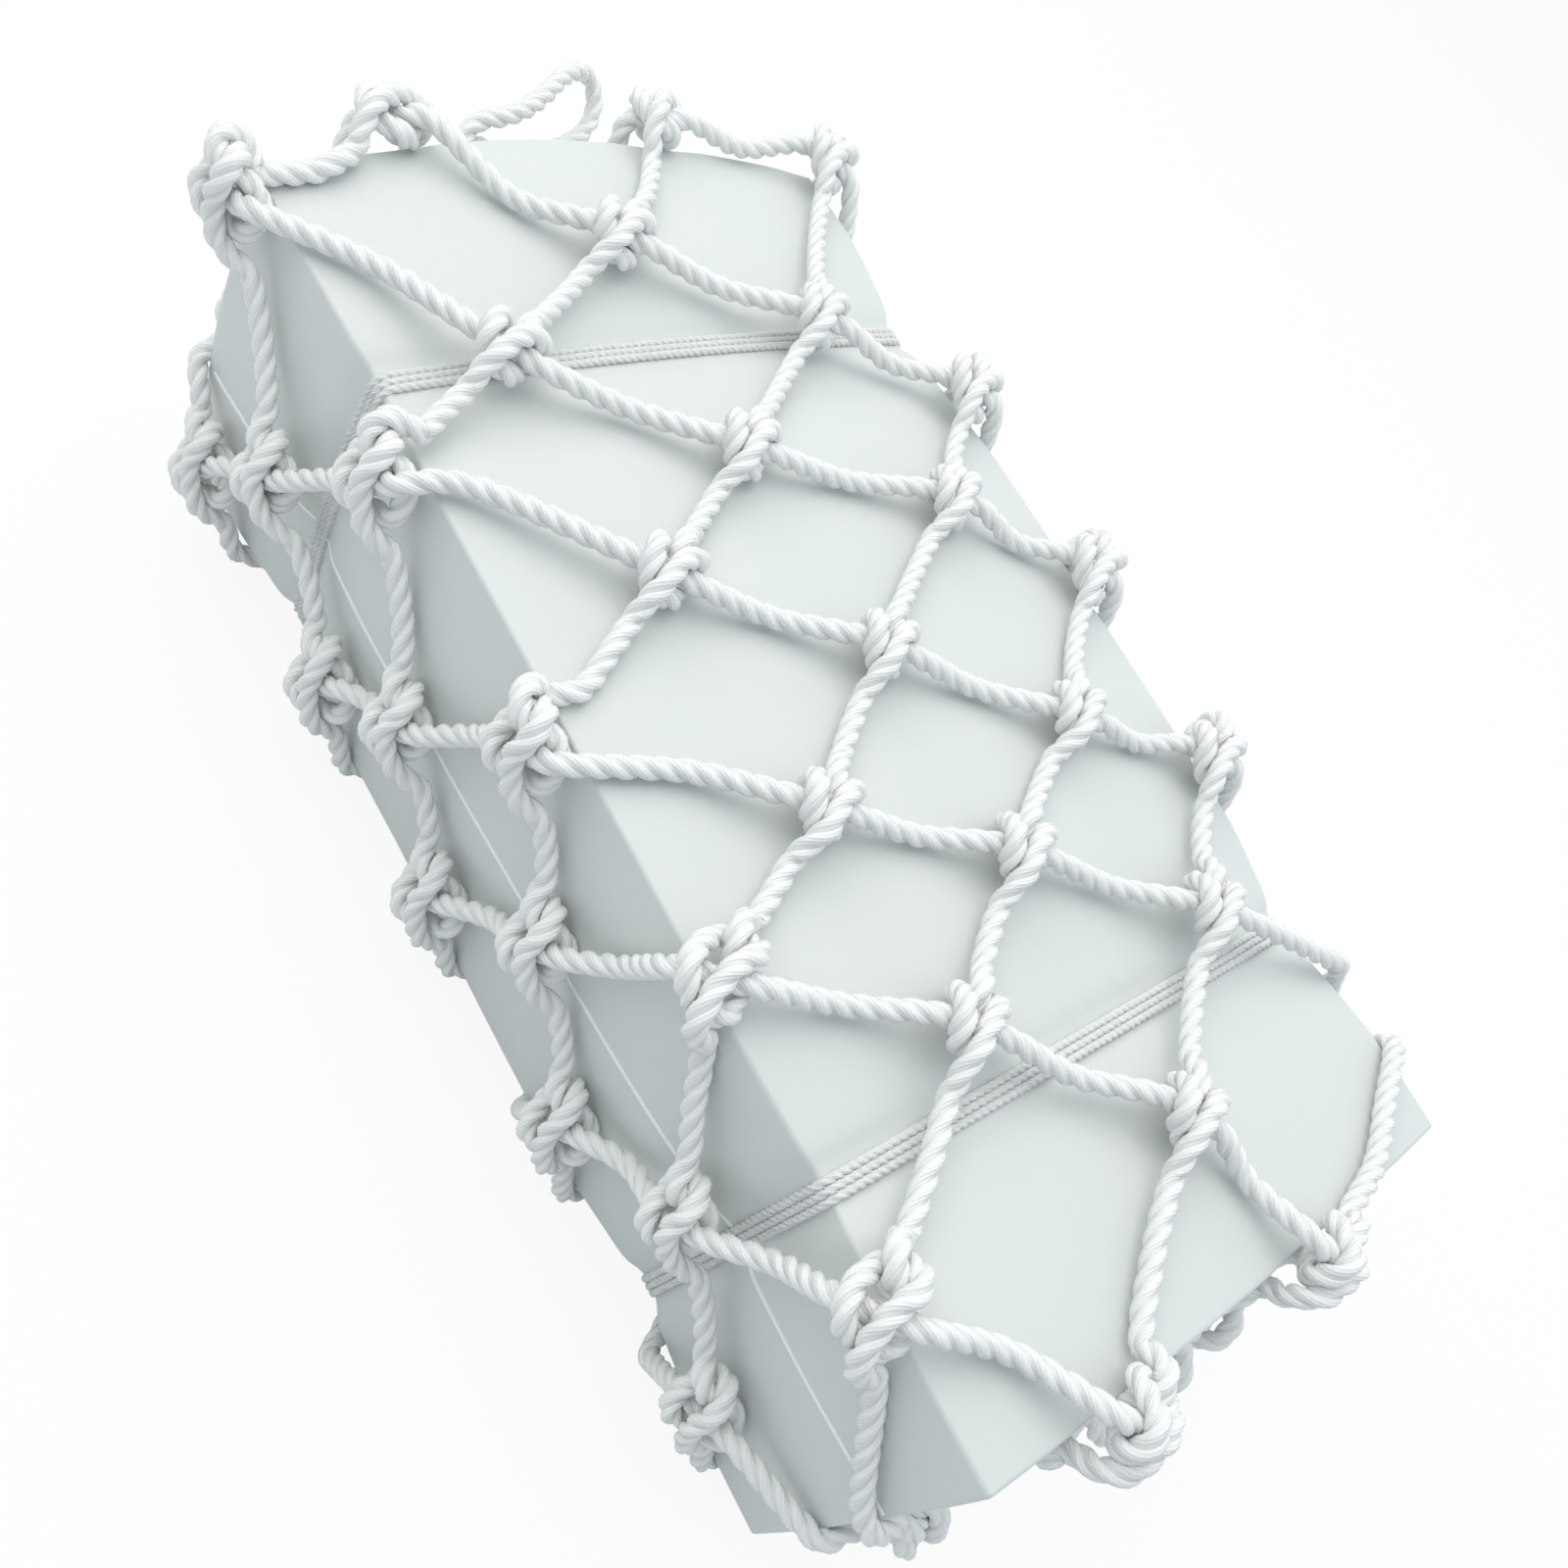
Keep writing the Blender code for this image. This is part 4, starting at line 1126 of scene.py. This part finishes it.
# %% The cover's cloth
DENT_DEPTH = 0.0009
DENT_SLOPE = 0.011
FOLD_HEIGHT = 0.0011
FOLD_FADE = 0.030
FOLD_START = 0.004
FOLD_RISE = 0.010
FOLD_COURSE = (1.0, 0.3, 6.0)
FOLD_WAVES = (0.33, 0.21, 0.14, 0.5)
FOLD_SEED = 5
SWAY_HEIGHT = 0.0009
SWAY_WAVES = (0.16, 0.11, 0.23, 0.085)
SWAY_SEED = 3


def waves(places, lengths, seed):
    """A soft, repeatable unevenness: a few sine waves in scattered directions."""
    chance = np.random.default_rng(seed)
    total = np.zeros(len(places))
    for length in lengths:
        way = chance.normal(size=3)
        way /= np.linalg.norm(way)
        total += np.sin(places @ way * 2 * math.pi / length + chance.uniform(0, 2 * math.pi))
    return total / len(lengths)


def cover_points(sharp):
    """Points of the cloth and the directions out of it, for points on the block's sharp box."""
    points, normals = surface(sharp, radius=CRISP_RADIUS)
    knots = [place for stops in knotted_stops for place, _, row in stops if row is not None]
    dent = np.zeros(len(points))
    for knot in knots:
        away = np.linalg.norm(points - knot, axis=1)
        dent += DENT_DEPTH * np.exp(-((np.maximum(0.0, away - KNOT_LIFT) / DENT_SLOPE) ** 2))
    folds = np.zeros(len(points))
    round_about = np.arctan2(sharp[:, 2], sharp[:, 0])
    for place in BINDING_Y:
        away = np.abs(sharp[:, 1] - place)
        course = np.stack([round_about, round_about, away], axis=1) * FOLD_COURSE
        ripple = waves(course, FOLD_WAVES, FOLD_SEED)
        rising = np.clip((away - FOLD_START) / FOLD_RISE, 0.0, 1.0)
        folds += FOLD_HEIGHT * ripple * np.exp(-away / FOLD_FADE) * rising
    sway = SWAY_HEIGHT * waves(points, SWAY_WAVES, SWAY_SEED)
    return points + normals * (folds + sway - dent)[:, None], normals


# %% [markdown]
# The cover's mesh takes the place of three CAD nodes, the sleeve and both end panels.

# %% Cover
BESIDE_BINDING = (0.009, 0.011, 0.013, 0.015)
extra = [place + side * offset for place in BINDING_Y for side in (-1, 1) for offset in BESIDE_BINDING]
sharp, faces = box_shell((stations(HALF[0]), stations(HALF[1], extra), stations(HALF[2])))
mesh = bpy.data.meshes.new("cover")
mesh.from_pydata(cover_points(sharp)[0].tolist(), [], faces)
mesh.shade_smooth()
cover = plain_object("cover", mesh)
mesh.materials.append(cover_finish)
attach(cover, "fender")
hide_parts("cover_sleeve", "end_panel_top", "end_panel_bottom")
print("cover faces", len(faces))

# %% [markdown]
# The cord's ends are tied at the middle of the back. The tie is the net's own knot again, at the
# cord's scale, with two short tails.

# %% Binding knots
TIE_KNOT = 8
TIE_DEPTH = 2.1 * BINDING_CORD
TIE_SIZE = 0.86
TIE_LOW = -0.0042
TIE_HIGH = 0.0030
TIE_STEP = 0.001
TIE_AXES = np.array([[0.0, -1.0, 0.0], [-1.0, 0.0, 0.0], [0.0, 0.0, -1.0]])


def binding_tie(place):
    """A tightened knot at cord size, lying on the turns of cord, with a tail each way."""
    base = surface((0.0, place, -HALF[2]))[0][0] + np.array([0.0, BINDING_PITCH / 2, -TIE_DEPTH])
    knot = tight[TIE_KNOT] @ TIE_AXES * BINDING_CORD * TIE_SIZE
    knot[:, 2] = np.clip(knot[:, 2], TIE_LOW, TIE_HIGH)
    return smooth_path(base + knot, TIE_STEP)


for name, place in zip(("lower", "upper"), BINDING_Y):
    tie = lay_rope(f"tie_{name}", binding_tie(place), BINDING_CORD, CORD_LAY, CORD_STEP, CORD_SIDES,
                   cord_finish)
    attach(tie, "fender")
    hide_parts(f"binding_knot_{name}")

# %% [markdown]
# The cover is closed by a lap that runs along the left side, a little askew. Its edge is a narrow strip
# that stands about half a millimetre proud, coloured lighter than the cloth as a painted highlight, so
# that it shows as a thin bright line. It is built from the cover's own points, so that it lies along the
# cloth's unevenness.

# %% Lap of the cover
LAP_TOP = (0.293, -0.021)
LAP_BOTTOM = (-0.298, 0.027)
TAPE_WIDTH = 0.0024
TAPE_THICKNESS = 0.0006
TAPE_SECTION = np.array([(0.5, -1.6), (0.5, 0.6), (0.3, 1.0), (-0.3, 1.0), (-0.5, 0.6), (-0.5, -1.6)])
LAP_POINTS = 241
# Painted highlight: the strip is coloured lighter than the cloth so that the lap shows as a bright line.
lap_highlight_finish = new_material("cover_lap_highlight", (0.90, 0.93, 0.93), 0.35)[0]


def lap_strip():
    """A thin tape on the left side, flat on top, with its lower face just inside the cloth."""
    shares = np.linspace(0.0, 1.0, LAP_POINTS)[:, None]
    along = LAP_TOP[0] + (LAP_BOTTOM[0] - LAP_TOP[0]) * shares
    middle = LAP_TOP[1] + (LAP_BOTTOM[1] - LAP_TOP[1]) * shares
    across = middle + TAPE_SECTION[:, 0] * TAPE_WIDTH
    left = np.full(across.shape, -HALF[0])
    sharp = np.stack([left, np.broadcast_to(along, across.shape), across], axis=2)
    points, normals = cover_points(sharp.reshape(-1, 3))
    proud = np.tile(TAPE_SECTION[:, 1], LAP_POINTS) * TAPE_THICKNESS
    rows = points + normals * proud[:, None]
    sides = len(TAPE_SECTION)
    last = (LAP_POINTS - 1) * sides
    faces = []
    for first in range(0, last, sides):
        for k in range(sides):
            a, b = first + k, first + (k + 1) % sides
            faces.append((a, b, b + sides, a + sides))
    faces += [tuple(reversed(range(sides))), tuple(range(last, last + sides))]
    mesh = bpy.data.meshes.new("cover_lap")
    mesh.from_pydata(rows.tolist(), [], faces)
    return mesh


lap = plain_object("cover_lap", lap_strip())
lap.data.materials.append(lap_highlight_finish)
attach(lap, "fender")

# %% [markdown]
# The studio is plain: a pale floor, a large soft light overhead beyond the top end, a weaker one on
# the right, and a white surround that is a little brighter on the right than on the left. The camera
# sees the surround and the floor as nearly even white, but the floor still takes the fender's shadow.

# %% Floor and lights
FLOOR_REACH = 6.0
FLOOR_GLOW = 0.9
LIGHT_AIM = Vector((0.0, 0.0, 0.1))


def pale_floor():
    """A floor that the camera sees as nearly white, mostly by its own glow."""
    floor_finish, tree, shader = new_material("floor", (0.86, 0.87, 0.87), 0.9)
    seen = add_node(tree, "ShaderNodeLightPath")
    glow = add_node(tree, "ShaderNodeEmission", {"Color": (1.0, 1.0, 1.0, 1.0), "Strength": 1.0})
    mix = add_node(tree, "ShaderNodeMixShader", {
        0: maths(tree, "MULTIPLY", seen.outputs["Is Camera Ray"], FLOOR_GLOW),
        1: shader.outputs[0], 2: glow.outputs[0]})
    tree.links.new(mix.outputs[0], tree.nodes["Material Output"].inputs["Surface"])
    mesh = bpy.data.meshes.new("floor")
    corners = [(x * FLOOR_REACH, y * FLOOR_REACH, 0.0) for x, y in ((-1, -1), (1, -1), (1, 1), (-1, 1))]
    mesh.from_pydata(corners, [], [(0, 1, 2, 3)])
    mesh.materials.append(floor_finish)
    plain_object("floor", mesh)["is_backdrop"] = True


def area_light(name, place, size, power, colour):
    """A round, soft light that looks at the fender."""
    light = bpy.data.lights.new(name, "AREA")
    light.color = colour
    light.shape = "DISK"
    light.size = size
    light.energy = power
    made = plain_object(name, light)
    made.location = place
    made.rotation_euler = (LIGHT_AIM - Vector(place)).to_track_quat("-Z", "Y").to_euler()


pale_floor()
area_light("key", (-0.15, 0.75, 1.7), 2.7, 24.0, (1.0, 0.965, 0.905))
area_light("fill", (0.9, -0.5, 1.4), 2.4, 5.0, (1.0, 0.985, 0.96))

# %% [markdown]
# The surround gives most of the light. For the camera, for reflections and through clear things it is
# at full strength, and for soft light it is weaker and leans towards the bright side.

# %% World
WORLD_LIGHT = 0.63
BRIGHT_SIDE = (0.24, 0.10, 0.15)
WORLD_COLOUR = (0.865, 0.94, 1.0)
world = bpy.data.worlds.new("surround")
bpy.context.scene.world = world
world.use_nodes = True
tree = world.node_tree
back = tree.nodes["Background"]
rays = add_node(tree, "ShaderNodeLightPath")
clear = maths(tree, "MAXIMUM", rays.outputs["Is Camera Ray"], maths(
    tree, "MAXIMUM", rays.outputs["Is Glossy Ray"], rays.outputs["Is Transmission Ray"]))
direction = add_node(tree, "ShaderNodeTexCoord").outputs["Generated"]
lean = add_node(tree, "ShaderNodeVectorMath", {0: direction, 1: BRIGHT_SIDE}, operation="DOT_PRODUCT")
soft = maths(tree, "MULTIPLY", maths(tree, "ADD", lean.outputs["Value"], 1.0), WORLD_LIGHT)
strength = maths(tree, "ADD", maths(tree, "MULTIPLY", maths(tree, "SUBTRACT", 1.0, clear), soft), clear)
tree.links.new(strength, back.inputs["Strength"])
back.inputs["Color"].default_value = (*WORLD_COLOUR, 1.0)
bpy.context.scene.view_settings.view_transform = "Standard"

# %% Finish
seen_box = [list(corner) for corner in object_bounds()]
grown = [[round((seen - cad) / MM, 1) for cad, seen in zip(*pair)] for pair in zip(cad_box, seen_box)]
print("grown low and high in mm", grown)
